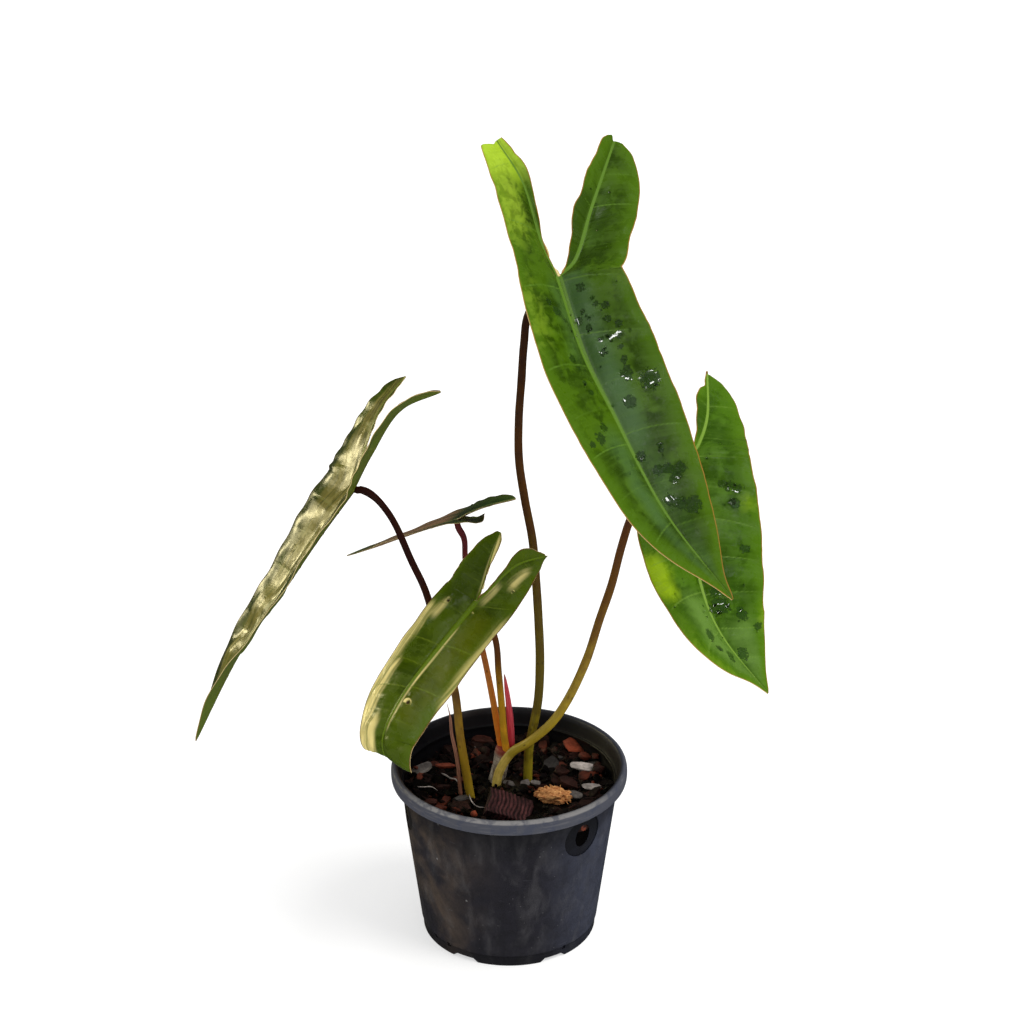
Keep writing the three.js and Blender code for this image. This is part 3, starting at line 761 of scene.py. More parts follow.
def patches(paint: Paint, side: Side, *rows: Numbers) -> tuple[Zone, ...]:
    """List zones of one paint on one half.

    Args:
        paint: Their paint.
        side: Their half of the blade.
        *rows: For each zone its limits along, its limits across, its strength, and where they differ
            from the usual its soft border along and across.

    Returns:
        The zones.
    """
    return tuple(Zone(paint, side, row[:2], row[2:4], *row[4:]) for row in rows)


@dataclass(frozen=True)
class LeafFinish:
    """The colours and gloss of a blade."""

    name: str
    body: Colour
    deep: Colour
    margin: Colour
    # The colour of the painted sheen, the sky's reflection.
    haze: Colour
    # Partly the blade's yellowing, partly painted light shining through it.
    yellow: Colour
    # The painted warm glare of leaves C and E, the tan of leaf D, and the painted highlight on the holes' rims.
    gold: Colour
    rib: Colour
    lateral: Colour
    under: Colour
    under_rib: Colour
    edge: Colour
    # The cut edge: pale, partly its own colour and partly a painted highlight.
    rim: Colour
    roughness: float
    wet: Colour

    def material(self) -> Material:
        """Build the blade's material.

        Returns:
            A material that reads the blade's own attributes and UV map.
        """
        s = Surface(self.name)
        place, uv = s.coordinates()
        across, rib_half, margin = s.attribute("ribs")
        vein, vein_strength, under = s.attribute("nerves")
        wet, hole, dark = s.attribute("marks")
        yellow, gold, haze = s.attribute("tones")
        broad = s.mottle(place, 38.0, 0.36, 0.64)
        fine = s.mottle(place, 140.0, 0.35, 0.65)
        lines = s.noise(s.place(uv, (26, 420, 1)), 1.0, 3.0, 0.6)
        fibres = s.noise(s.place(uv, (60, 1500, 1)), 1.0, 2.0, 0.6)

        colour = s.mix(s.ramp(s.linear(fine, 0.4, s.times(broad, 0.6)), 0.15, 0.85), self.deep, self.body)
        ragged = s.stray(margin, broad, 7.0)
        colour = s.over(s.ramp(ragged, 13.0, 0.5), 0.85, colour, self.margin)
        # Painted sheen: the sky's reflection laid on as colour.
        colour = s.mix(self._spread(s, haze, broad, lines), colour, self.haze)
        # Yellow-green: partly the blade's own, partly painted light shining through.
        colour = s.mix(self._spread(s, yellow, fine, lines), colour, self.yellow)
        colour = s.over(s.ramp(dark, 0.1, 0.9), 0.8, colour, self.deep)
        colour = s.over(s.ramp(lines, 0.35, 0.75), 0.22, colour, s.mix(0.5, self.body, self.lateral))
        # The gold zones: on C and E a painted warm glare in streaks along the folds, on D the blade's tan.
        folds = s.noise(s.place(uv, (340, 16, 1)), 1.0, 2.0, 0.5, 0.4)
        streak = s.linear(s.ramp(folds, 0.38, 0.58), 0.6, 0.4)
        colour = s.over(self._spread(s, gold, folds, folds), streak, colour, self.gold)
        side_vein = s.times(s.ramp(vein, 0.75, 0.15), vein_strength)
        colour = s.over(side_vein, 0.8, colour, self.lateral)
        rib = s.ramp(s.minus(across, rib_half), 0.25, -0.25)
        rib_tone = s.over(s.ramp(fibres, 0.3, 0.7), 0.5, self.rib, self.lateral)
        colour = s.mix(rib, colour, rib_tone)
        shards = s.linear(s.noise(place, 330.0, 3.0, 0.6, 1.2), 2.6, -1.15)
        film = s.ramp(s.plus(wet, shards), 0.0, 0.1)
        film = s.times(film, s.ramp(wet, -0.7, -0.4))
        colour = s.over(film, 0.75, colour, self.wet)
        colour = s.mix(s.ramp(hole, 0.55, 0.75), colour, tint(46, 30, 12))
        # Painted highlight on the rims of the holes.
        ring = s.times(s.ramp(hole, 0.05, 0.3), s.ramp(hole, 0.75, 0.5))
        broken = s.ramp(s.noise(place, 210.0, 2.0), 0.46, 0.58)
        colour = s.over(ring, broken, colour, self.gold)
        colour = s.mix(s.ramp(margin, 0.75, 0.25), colour, self.edge)

        below = s.mix(s.ramp(broad, 0.2, 0.8), self.under, s.mix(0.35, self.under, self.body))
        below = s.over(side_vein, 0.7, below, self.lateral)
        below = s.mix(s.ramp(s.minus(across, rib_half), 0.6, -0.2), below, self.under_rib)
        below = s.mix(s.ramp(margin, 0.8, 0.3), below, self.edge)
        colour = s.mix(s.ramp(under, 0.75, 0.95), colour, below)
        # The cut edge's pale colour: partly its own, partly a painted highlight.
        brink = s.times(s.ramp(under, 0.03, 0.2), s.ramp(under, 0.97, 0.8))
        colour = s.mix(brink, colour, self.rim)

        rough = s.ramp(fine, 0.0, 1.0, self.roughness - 0.05, self.roughness + 0.09)
        rough = s.plus(rough, s.times(under, 0.2))
        height = s.linear(fibres, 0.35, lines)
        height = s.times(height, s.ramp(film, 1.0, 0.0))
        normal = s.bump(height, 0.14, 0.55)
        normal = s.bump(s.ramp(s.math("ABSOLUTE", s.minus(across, rib_half)), 0.5, 0.0), 0.25, -0.6, normal)
        swell = s.times(film, s.linear(s.noise(place, 560.0, 2.0), 2.0, 0.3))
        normal = s.bump(swell, 0.6, 1.0, normal)
        return s.dress(Base_Color=colour, Roughness=rough, Normal=normal, Specular_IOR_Level=0.3,
                       Coat_Weight=film, Coat_Roughness=0.04, Coat_IOR=1.75)

    @staticmethod
    def _spread(s: Surface, field_value: object, blotch: object, grain: object) -> Socket:
        """Break up the soft border of a painted zone.

        Args:
            s: The surface that is built.
            field_value: The zone's strength.
            blotch: A broad pattern from 0 to 1.
            grain: A fine pattern from 0 to 1.

        Returns:
            The share of the zone's colour.
        """
        broken = s.stray(field_value, blotch, 0.22)
        broken = s.stray(broken, grain, 0.2)
        edge = s.ramp(broken, 0.05, 1.0)
        return s.times(edge, s.ramp(field_value, 0.0, 0.15))


@dataclass(frozen=True)
class Ground:
    """Where the vertices of a blade lie on it."""

    along: Array
    distance: Array
    side: Array
    station: Array
    reach: Array
    width: Array

    @property
    def margin(self) -> Array:
        """Return how far it is to the margin."""
        return self.width - self.distance


@dataclass
class Blade:
    """A leaf blade with two basal lobes, ruled between its rib and its margins."""

    name: str
    sinus: Point
    midrib: Route
    left: Lobe
    right: Lobe
    tip_across: Point
    middle_across: Point
    sinus_across: Point
    left_across: Point
    right_across: Point
    curl: Numbers
    wave: Numbers
    """Height, count, and the phases of the left and the right margin's ripple."""
    rib_width: Numbers
    """Half width of the pale midrib at the tip, in the middle, at the sinus, and at the lobes' ends."""
    quilt: float
    finish: LeafFinish
    seed: int
    pucker: float = 0.6
    zones: tuple[Zone, ...] = ()
    wet: tuple[Spot, ...] = ()
    """Wet patches and drops: side, place along, place across and radius."""
    drops: tuple[Spot, ...] = ()
    holes: tuple[Spot, ...] = ()
    slot: str = "leaf_green"
    spacing: float = 1.0
    outer_columns: int = 34
    inner_columns: int = 9
    thickness: float = 0.62
    dents: float = 0.0
    flat_margin: float = 7.0
    bulges: tuple[tuple[float, float, float, float, float, float], ...] = ()
    """Side, place along, place across, half length, half width and height of each bulge."""
    wrinkles: tuple[tuple[float, float, float, float, float], ...] = ()
    """Side, first and last place along, width from the margin and height of each wrinkled strip."""
    relief: Relief = field(init=False)

    def __post_init__(self) -> None:
        """Draw the blade's own unevenness."""
        self.relief = Relief(self.seed)

    def half(self, side: Side) -> Lobe:
        """Return one half of the blade."""
        return self.left if side is Side.LEFT else self.right

    def ribs(self, side: Side) -> tuple[Array, Array]:
        """Return the points of the midrib and of one lobe's rib, both from the sinus."""
        return (np.array([self.sinus, *self.midrib], float), np.array([self.sinus, *self.half(side).rib], float))

    def rib_frame(self, side: Side, station: Array) -> tuple[Array, ...]:
        """Find the rib and its directions.

        Args:
            side: The half of the blade.
            station: Places from the tip at -1 over the sinus at 0 to the lobe's tip at 1.

        Returns:
            The places, and the directions across to the margin and out of the upper face.
        """
        midrib, lobe = self.ribs(side)
        near = 1e-4
        place = np.where((station < 0)[:, None], catmull_rom(midrib, -station), catmull_rom(lobe, station))
        back = np.clip(-station, near, 1 - near)
        ahead = np.clip(station, near, 1 - near)
        up = unit(catmull_rom(midrib, back - near) - catmull_rom(midrib, back + near))
        out = unit(catmull_rom(lobe, ahead + near) - catmull_rom(lobe, ahead - near))
        turn = smoothstep(station, -0.35, 0.5)[:, None]
        along = unit(up * (1 - turn) + out * turn)
        ends = [self.tip_across, self.middle_across, self.sinus_across,
                self.left_across if side is Side.LEFT else self.right_across]
        across = smooth_through((-1, -0.5, 0, 1), np.array(ends), station)
        across = unit(across - along * np.sum(across * along, axis=1, keepdims=True))
        return place, across * side.value, np.cross(across, along)

    def run(self, side: Side) -> tuple[Array, Array]:
        """Measure the rib.

        Args:
            side: The half of the blade.

        Returns:
            Stations in rising order, and how far along the rib each is: positive towards the tip and
            negative up the lobe.
        """
        midrib, lobe = self.ribs(side)
        share = np.linspace(0, 1, 500)
        lengths = []
        for points in (midrib, lobe):
            path = catmull_rom(points, share)
            lengths.append(np.concatenate([[0], np.cumsum(np.linalg.norm(np.diff(path, axis=0), axis=1))]))
        return (np.concatenate([-share[::-1], share[1:]]), np.concatenate([lengths[0][::-1], -lengths[1][1:]]))

    def place(self, side: Side, station: Array, reach: Array, ragged: bool = True) -> tuple[Array, Array, Array]:
        """Place points of the smooth sheet.

        Args:
            side: The half of the blade.
            station: Places along the rib.
            reach: Places across: 0 at the rib, 1 at the margin, -1 at a lobe's inner edge.
            ragged: Whether the margin has its small irregularities.

        Returns:
            The points, their distance from the rib, and the half's full width there.
        """
        half = self.half(side)
        place, across, normal = self.rib_frame(side, station)
        outer = smooth_through(half.outer_at, np.array(half.outer), station)
        inner = np.where(station > 0, smooth_through(half.inner_at, np.array(half.inner), station), 0)
        if ragged:
            wander = self.relief.rough(place + 40 * side.value, 9.0, 2)
            outer = outer * (1 + 0.01 * wander) * smoothstep(station, -1.02, -0.985)
            inner = inner * (1 + 0.06 * wander)
            torn = sum(length * np.exp(-(((reach - spot) / wide) ** 2)) for spot, wide, length in half.hooks)
            forward = np.cross(normal, across * side.value)
            place = place + forward * (smoothstep(station, 0.9, 1) * torn)[:, None]
        width = np.where(reach >= 0, outer, inner)
        distance = np.abs(reach) * width
        fold = np.where(reach >= 0, smooth_through(half.fold_at, np.array(half.fold), station), half.inner_fold)
        curl = np.where(reach >= 0, smooth_through((-1, -0.4, 0.1, 1), np.array(self.curl), station) * reach / 2, 0)
        rise = np.radians(fold) + curl
        height, count, left, right = self.wave
        fade = smoothstep(station, -1, -0.7) * (1 - smoothstep(station, 0.8, 1))
        phase = left if side is Side.LEFT else right
        ripple = height * fade * np.sin(2 * math.pi * (count * station + phase)) * reach**2
        points = (place + across * (np.sign(reach) * distance * np.cos(rise))[:, None]
                  + normal * (distance * np.sin(rise) + ripple)[:, None])
        return points, distance, width

    def _rows(self, side: Side) -> Array:
        """Space the rows of the sheet evenly along the rib.

        Args:
            side: The half of the blade.

        Returns:
            The rows' stations. Both halves have the same rows up to the sinus.
        """
        station, run = self.run(side)
        blade = np.linspace(run[0], 0, int(round(run[0] / self.spacing)) + 1)
        lobe = np.linspace(0, run[-1], int(round(-run[-1] / self.spacing)) + 1)[1:]
        return np.interp(-np.concatenate([blade, lobe]), -run, station)

    def _half_sheet(self, side: Side) -> Piece:
        """Make one half of the sheet, with what its surface is made from stored on its vertices."""
        stations = self._rows(side)
        inner = -np.linspace(1, 0, self.inner_columns, endpoint=False)
        outer = np.linspace(0, 1, self.outer_columns + 1) ** 1.2
        reaches = np.concatenate([inner, outer])
        if side is Side.LEFT:
            reaches = reaches[::-1]
        station, reach = (a.ravel() for a in np.meshgrid(stations, reaches, indexing="ij"))
        points, distance, width = self.place(side, station, reach)
        obj = sheet(f"{self.name}_{side.name.lower()}", points.reshape(len(stations), len(reaches), 3))
        run_at, run = self.run(side)
        along = np.interp(station, run_at, run)
        write_field(obj, "where", np.stack([along, distance, np.full_like(along, side.value)], axis=1))
        write_field(obj, "sheet", np.stack([station, reach, width], axis=1))
        pick(obj)
        bpy.ops.object.mode_set(mode="EDIT")
        bpy.ops.mesh.select_mode(type="FACE")
        bpy.ops.mesh.select_all(action="DESELECT")
        bpy.ops.object.mode_set(mode="OBJECT")
        corners = np.empty(4 * len(obj.data.polygons), np.int32)
        obj.data.polygons.foreach_get("vertices", corners)
        corners = corners.reshape(-1, 4)
        empty = (reach[corners].min(axis=1) < -1e-6) & (station[corners].min(axis=1) < -1e-6)
        obj.data.polygons.foreach_set("select", empty)
        bpy.ops.object.mode_set(mode="EDIT")
        bpy.ops.mesh.delete(type="FACE")
        bpy.ops.object.mode_set(mode="OBJECT")
        return obj

    def _rib_half_width(self, station: Array, side: Array) -> Array:
        """Read the half width of the pale midrib and of the lobes' ribs."""
        tip, middle, sinus, left, right = self.rib_width
        blade = smooth_through((-1, -0.5, 0), np.array([tip, middle, sinus]), station)
        lobe = sinus * 0.55 + (np.where(side < 0, left, right) - sinus * 0.55) * np.clip(station, 0, 1)
        return np.where(station <= 0, blade, lobe)

    @staticmethod
    def _spots(spots: tuple[Spot, ...], ground: Ground) -> Array:
        """Measure how deep each vertex lies in round spots.

        Args:
            spots: Side, place along, place across and radius of each spot.
            ground: Where the vertices lie.

        Returns:
            1 in the middle of a spot, 0 at its border, and down to -1 away from all.
        """
        deep = np.full(len(ground.along), -1.0)
        for half, a, c, radius in spots:
            gap = np.hypot(ground.along - a, ground.distance * ground.side - c * half) / radius
            deep = np.maximum(deep, 1 - gap)
        return deep

    def _zone(self, paint: Paint, ground: Ground) -> Array:
        """Find the strongest zone of one paint at each vertex."""
        along, reach = ground.along, ground.reach
        total = np.zeros(len(along))
        for zone in self.zones:
            if zone.paint is not paint:
                continue
            inside = (smoothstep(along, zone.along[0] - zone.soft, zone.along[0] + zone.soft)
                      * (1 - smoothstep(along, zone.along[1] - zone.soft, zone.along[1] + zone.soft))
                      * smoothstep(reach, zone.reach[0] - zone.edge, zone.reach[0] + zone.edge)
                      * (1 - smoothstep(reach, zone.reach[1] - zone.edge, zone.reach[1] + zone.edge)))
            total = np.maximum(total, np.where(ground.side == zone.side.value, inside * zone.strength, 0))
        return total

    def _veins(self, ground: Ground) -> tuple[Array, ...]:
        """Find the nearest side vein.

        Args:
            ground: Where the vertices lie.

        Returns:
            The distance to the nearest side vein, its strength, and the place along in coordinates
            that lean with the veins.
        """
        along, distance = ground.along, ground.distance
        near = np.full(len(along), 40.0)
        strength = np.zeros(len(along))
        leaning = along.copy()
        for half in Side:
            mine = ground.side == half.value
            for start, lean, power in self.half(half).laterals:
                curve = along - start - lean * distance - 0.006 * distance**2
                gap = np.abs(curve)
                closer = mine & (gap < near)
                near = np.where(closer, gap, near)
                strength = np.where(closer, power, strength)
                leaning = np.where(closer, along - lean * distance - 0.006 * distance**2, leaning)
        return near, strength, leaning

    def _surface(self, points: Array, ground: Ground, rib: Array, vein: Array, strength: Array) -> Array:
        """Work out how far the upper face stands over the smooth sheet, in millimetres."""
        along, distance, side, margin = ground.along, ground.distance, ground.side, ground.margin
        open_land = smoothstep(distance, rib, rib + 9) * smoothstep(margin, 0.3, self.flat_margin)
        pillow = (1 - np.exp(-(vein / 6.0) ** 2)) * open_land
        height = self.quilt * pillow
        height += self.pucker * self.relief.rough(points, 17.0, 2) * smoothstep(distance, rib, rib + 8) * (
            0.35 + 0.65 * smoothstep(margin, 0, self.flat_margin))
        if self.dents:
            spots = np.stack([along - 0.3 * distance, 0.42 * distance, 60 * side], axis=1)
            height += self.dents * self.relief.rough(spots, 19.0, 1) * open_land
        height += (0.02 if self.dents else 0.12) * self.relief.rough(points, 4.5, 2) * open_land
        height += 0.3 * np.exp(-(distance / np.maximum(rib * 0.8, 0.3)) ** 2)
        height -= 0.3 * np.exp(-((distance - 1.5 * rib) / np.maximum(rib, 0.4)) ** 2)
        height -= 0.22 * strength * np.exp(-(vein / 0.9) ** 2) * open_land
        for half, a, c, long, wide, high in self.bulges:
            gap = np.hypot((along - a) / long, (distance * side - c * half) / wide)
            height += high * (1 - smoothstep(gap, 0.35, 1.15))
        for half, first, last, wide, high in self.wrinkles:
            inside = (side == half) * smoothstep(along, first - 6, first + 6)
            inside = inside * (1 - smoothstep(along, last - 6, last + 6))
            inside = inside * (1 - smoothstep(margin, wide - 3, wide + 1)) * smoothstep(margin, 0, 1.2)
            swing = margin + 1.3 * self.relief.rough(points, 16.0, 2)
            uneven = 0.7 + 0.5 * self.relief.read(points + 9, 11.0)
            height += high * inside * np.sin(2 * math.pi * swing / 3.4) * uneven
        hole = self._spots(self.holes, ground)
        height += 0.7 * np.exp(-((hole - 0.25) / 0.25) ** 2) - 1.2 * smoothstep(hole, 0.35, 0.9)
        return height

    def build(self) -> Piece:
        """Model the blade.

        Returns:
            The blade as a closed thin shell, dressed and declared.
        """
        obj = join(self.name, [self._half_sheet(Side.LEFT), self._half_sheet(Side.RIGHT)])
        weld(obj, 2e-6)
        apply_modifier(obj, "SOLIDIFY", thickness=self.thickness * MM, offset=0.0, use_rim=True)
        count = len(obj.data.vertices) // 2
        where, smooth = read_field(obj, "where")[:count], read_field(obj, "sheet")[:count]
        ground = Ground(*where.T.astype(float), *smooth.T.astype(float))
        shell = read_points(obj)
        middle = (shell[:count] + shell[count:]) / 2
        normal = unit(shell[:count] - shell[count:])
        rib = self._rib_half_width(ground.station, ground.side)
        near, strength, leaning = self._veins(ground)
        height = self._surface(middle, ground, rib, near, strength)
        thick = self.thickness / 2 * (0.6 + 0.4 * smoothstep(ground.margin, 0, 3))
        keel = 1.15 * rib * np.exp(-(ground.distance / np.maximum(rib * 1.1, 0.5)) ** 2)
        keel += 0.25 * strength * np.exp(-(near / 0.9) ** 2) * smoothstep(ground.margin, 0, 6)
        upper = middle + normal * (height + thick)[:, None]
        lower = middle + normal * (height - thick - keel)[:, None]
        write_points(obj, np.vstack([upper, lower]))
        self._store(obj, ground, rib, near, strength, leaning)
        for name in ("where", "sheet"):
            obj.data.attributes.remove(obj.data.attributes[name])
        self.top = (ground, upper, normal)
        return finish_piece(obj, self.finish.material(), (self.name,))

    def _store(self, obj: Piece, ground: Ground, rib: Array, near: Array, strength: Array, leaning: Array) -> None:
        """Store what the material reads on the vertices of both faces."""
        def both(*parts: Array) -> Array:
            """Stack parts into vectors for the upper face and the lower face."""
            return np.tile(np.stack(parts, axis=1), (2, 1))
        fade = smoothstep(ground.distance, 0, 2) * smoothstep(ground.margin, 1, 8)
        nerves = both(near, strength * fade, strength)
        nerves[:, 2] = np.repeat([0.0, 1.0], len(near))
        write_field(obj, "ribs", both(ground.distance, rib, ground.margin))
        write_field(obj, "nerves", nerves)
        wet, hole = self._spots(self.wet, ground), self._spots(self.holes, ground)
        zones = [self._zone(paint, ground) for paint in Paint]
        write_field(obj, "marks", both(wet, hole, zones[3]))
        write_field(obj, "tones", both(*zones[:3]))
        write_uv(obj, np.tile(np.stack([ground.distance * ground.side, leaning], axis=1) * MM, (2, 1)))

    def find(self, half: float, a: float, c: float) -> tuple[Array, Array]:
        """Find a place on the upper face.

        Args:
            half: The half of the blade, -1 or 1.
            a: How far along the rib.
            c: How far across.

        Returns:
            The point and the direction out of the upper face.
        """
        ground, upper, normal = self.top
        gap = np.where(ground.side == half, np.hypot(ground.along - a, ground.distance - abs(c)), 1e9)
        k = int(np.argmin(gap))
        return upper[k], normal[k]

    def build_drops(self, material: Material) -> Piece | None:
        """Set drops of water on the blade.

        Args:
            material: The water.

        Returns:
            The drops as one piece, or None where the blade is dry.
        """
        if not self.drops:
            return None
        bpy.ops.mesh.primitive_uv_sphere_add(segments=16, ring_count=10, radius=MM)
        ball = bpy.context.object
        draw = np.random.default_rng(self.seed)
        places = []
        for half, a, c, radius in self.drops:
            point, normal = self.find(half, a, c)
            turn = Vector(normal).to_track_quat("Z", "Y").to_matrix().to_4x4()
            stretch = draw.uniform(0.85, 1.25)
            size = Matrix.Diagonal((radius * stretch, radius / stretch, radius * draw.uniform(0.5, 0.62), 1))
            spin = Matrix.Rotation(draw.uniform(0, math.pi), 4, "Z")
            spot = Vector((point + normal * 0.02 * radius) * MM)
            places.append((0, Matrix.Translation(spot) @ turn @ spin @ size, (1.0, 1.0, 1.0)))
        drops = scatter(f"{self.name}_drops", [ball], places)
        return finish_piece(drops, material)


# The stalks


@dataclass(frozen=True)
class StalkFinish:
    """The colours of a stalk from its foot to its top, and its gloss."""

    name: str
    foot: Colour
    low: Colour
    middle: Colour
    top: Colour
    roughness: float = 0.38
    turns: tuple[float, float, float] = (0.12, 0.4, 0.75)

    def material(self) -> Material:
        """Build the stalk's material, with lenticels, fine streaks and its change of colour."""
        s = Surface(self.name)
        place, uv = s.coordinates()
        share, _, _ = s.attribute("stalk")
        streaks = s.noise(s.place(uv, (900, 45, 1)), 1.0, 3.0, 0.6)
        blotch = s.mottle(place, 90.0, 0.3, 0.7)
        drift = s.stray(share, blotch, 0.1)
        drift = s.stray(drift, streaks, 0.12)
        first, second, third = self.turns
        colour = s.mix(s.ramp(drift, first - 0.1, first + 0.08), self.foot, self.low)
        colour = s.mix(s.ramp(drift, second - 0.2, second + 0.2), colour, self.middle)
        colour = s.mix(s.ramp(drift, third - 0.2, third + 0.2), colour, self.top)
        colour = s.over(s.ramp(streaks, 0.45, 0.8), 0.14, colour, s.mix(0.4, colour, tint(150, 120, 60)))
        spots = s.specks(s.place(uv, (1, 0.55, 1)), 330.0, 0.3, 0.16)
        colour = s.over(spots, 0.75, colour, tint(40, 22, 10))
        rough = s.ramp(blotch, 0.0, 1.0, self.roughness - 0.06, self.roughness + 0.1)
        normal = s.bump(streaks, 0.12, 0.5)
        normal = s.bump(spots, 0.25, 0.8, normal)
        return s.dress(Base_Color=colour, Roughness=rough, Normal=normal, Specular_IOR_Level=0.22)


@dataclass
class Stalk:
    """A petiole from the soil or the crown to its blade."""

    name: str
    route: Route
    radii: tuple[float, float]
    run: float
    finish: StalkFinish
    blade: Blade
    towards: Point | None = None
    sides: int = 20
    knee: float = 0.22

    def build(self) -> Piece:
        """Model the petiole, with the thicker knee below its blade.

        Returns:
            The petiole, dressed and declared.
        """
        place, _, normal = self.blade.rib_frame(Side.RIGHT, np.array([0.0]))
        points = [np.array(p, float) for p in self.route]
        if self.towards is not None:
            down = points[0] - np.array(self.towards)
            points.insert(0, points[0] + down * 24.0 / abs(down[2]))
        points += [place[0] - normal[0] * self.run, place[0] - normal[0] * 0.7]
        route = even_route(tuple(map(tuple, points)), 2.0)
        share = np.linspace(0, 1, len(route))
        left = np.linalg.norm(route - route[-1], axis=1)
        radius = self.radii[0] + (self.radii[1] - self.radii[0]) * share
        radius = radius * (1 + self.knee * np.exp(-((left - 7) / 7) ** 2))
        radius = radius * (1 + 0.03 * Relief(len(route)).read(route, 11.0))
        obj = tube(self.name, route, radius, self.sides)
        return finish_piece(obj, self.finish.material(), (self.name,))


# The pot


@dataclass(frozen=True)
class PotFinish:
    """Charcoal plastic, scuffed and dusty."""

    wall: Colour = tint(34, 33, 40)
    # Painted warm light on the pot's left side.
    warm: Colour = tint(90, 75, 60)
    # Painted cool sheen on the pot's right side, also mixed into the lip.
    cool: Colour = tint(64, 69, 86)
    # The lip's paler colour: partly wear, partly painted sheen.
    lip: Colour = tint(76, 78, 88)
    # The plastic's darker mottle, and the painted shade under the rim, in the hanger recesses, on the foot ring and
    # inside the pot.
    dark: Colour = tint(13, 13, 17)
    # Dust, and the painted highlight along the rim's top edge.
    dust: Colour = tint(128, 126, 126)
    scratch: Colour = tint(104, 106, 114)

    def material(self) -> Material:
        """Build the plastic, with haze, scratches and specks of dirt, a paler lip that is partly wear and partly
        painted sheen, painted warm light on its left side and painted cool sheen on its right, a painted highlight
        along the rim's top edge, and painted shade under the rim, in the hanger recesses, on the foot ring and inside.
        """
        s = Surface("pot_plastic")
        place, _ = s.coordinates()
        x, y, z = s.add("ShaderNodeSeparateXYZ", {0: place}).outputs
        broad = s.mottle(place, 22.0, 0.3, 0.7)
        fine = s.mottle(place, 120.0, 0.35, 0.7)
        radius = s.math("SQRT", s.plus(s.times(x, x), s.times(y, y)))
        # Painted warm light: the left side (negative x) is tinted warm, broken by broad patches.
        warm = s.times(s.ramp(x, 0.0, -0.065), s.ramp(broad, 0.0, 0.9))
        colour = s.over(warm, 0.8, self.wall, self.warm)
        # Painted cool sheen: the right side (positive x) is tinted bluish.
        colour = s.over(s.ramp(x, 0.01, 0.065), 0.7, colour, self.cool)
        colour = s.over(fine, 0.28, colour, self.dark)
        haze = s.mottle(s.place(place, (1, 1, 0.4)), 90.0, 0.44, 0.8)
        colour = s.over(haze, 0.13, colour, self.dust)
        streaks = s.noise(s.place(place, (70, 70, 900)), 1.0, 2.0, 0.5, 0.5)
        scratch = s.times(s.ramp(streaks, 0.70, 0.76), s.mottle(place, 30.0, 0.5, 0.66))
        colour = s.over(scratch, 0.55, colour, self.scratch)
        arcs = s.noise(s.place(place, (900, 900, 60)), 1.0, 2.0, 0.5, 0.8)
        scuff = s.times(s.ramp(arcs, 0.72, 0.78), s.mottle(place, 40.0, 0.52, 0.68))
        colour = s.over(scuff, 0.35, colour, self.scratch)
        specks = s.specks(place, 110.0, 0.13, 0.14)
        crumbs = s.specks(place, 420.0, 0.2, 0.07)
        colour = s.over(specks, 0.8, colour, self.dust)
        colour = s.over(crumbs, 0.4, colour, self.dust)
        # Painted shade: the wall darkens towards the top, under the rolled rim.
        colour = s.over(s.ramp(z, 0.08, 0.105), 0.55, colour, self.dark)
        # The paler lip: partly wear, partly painted sheen.
        lip = s.times(s.ramp(z, 0.1078, 0.1086), s.ramp(radius, 0.0722, 0.0745))
        worn = s.over(s.ramp(fine, 0.2, 0.9), 0.7, self.lip, self.cool)
        worn = s.over(s.ramp(streaks, 0.5, 0.8), 0.35, worn, self.dust)
        colour = s.over(lip, 0.85, colour, worn)
        # Painted highlight: a pale line along the rim's top outer edge, at the front.
        brink = s.times(s.ramp(z, 0.1155, 0.1165), s.ramp(y, -0.03, -0.06))
        colour = s.over(s.times(brink, lip), s.ramp(fine, 0.9, 0.2, 0.3, 1.0), colour, self.dust)
        depth = s.minus(radius, s.linear(z, WALL_SLOPE, WALL_FOOT * MM))
        inside = s.ramp(depth, -0.0012, -0.0018)
        # Painted shade in the hanger recesses.
        sunk = s.times(s.ramp(depth, -0.0003, -0.0006), s.ramp(z, 0.07, 0.075))
        colour = s.over(sunk, 0.75, colour, self.dark)
        # Painted shade on the low foot ring, under the wall's step.
        foot = s.ramp(z, 0.0085, 0.007)
        colour = s.over(foot, 0.5, colour, self.dark)
        # Painted shade: the inside of the pot is painted almost black.
        colour = s.over(inside, 0.94, colour, self.dark)
        rough = s.ramp(fine, 0.0, 1.0, 0.44, 0.6)
        rough = s.plus(rough, s.times(haze, 0.12))
        height = s.linear(scratch, -0.6, s.noise(place, 1600.0, 2.0))
        normal = s.bump(height, 0.05, 0.5)
        normal = s.bump(s.noise(place, 60.0, 2.0), 0.35, 0.35, normal)
        return s.dress(Base_Color=colour, Roughness=rough, Normal=normal, Specular_IOR_Level=0.25)


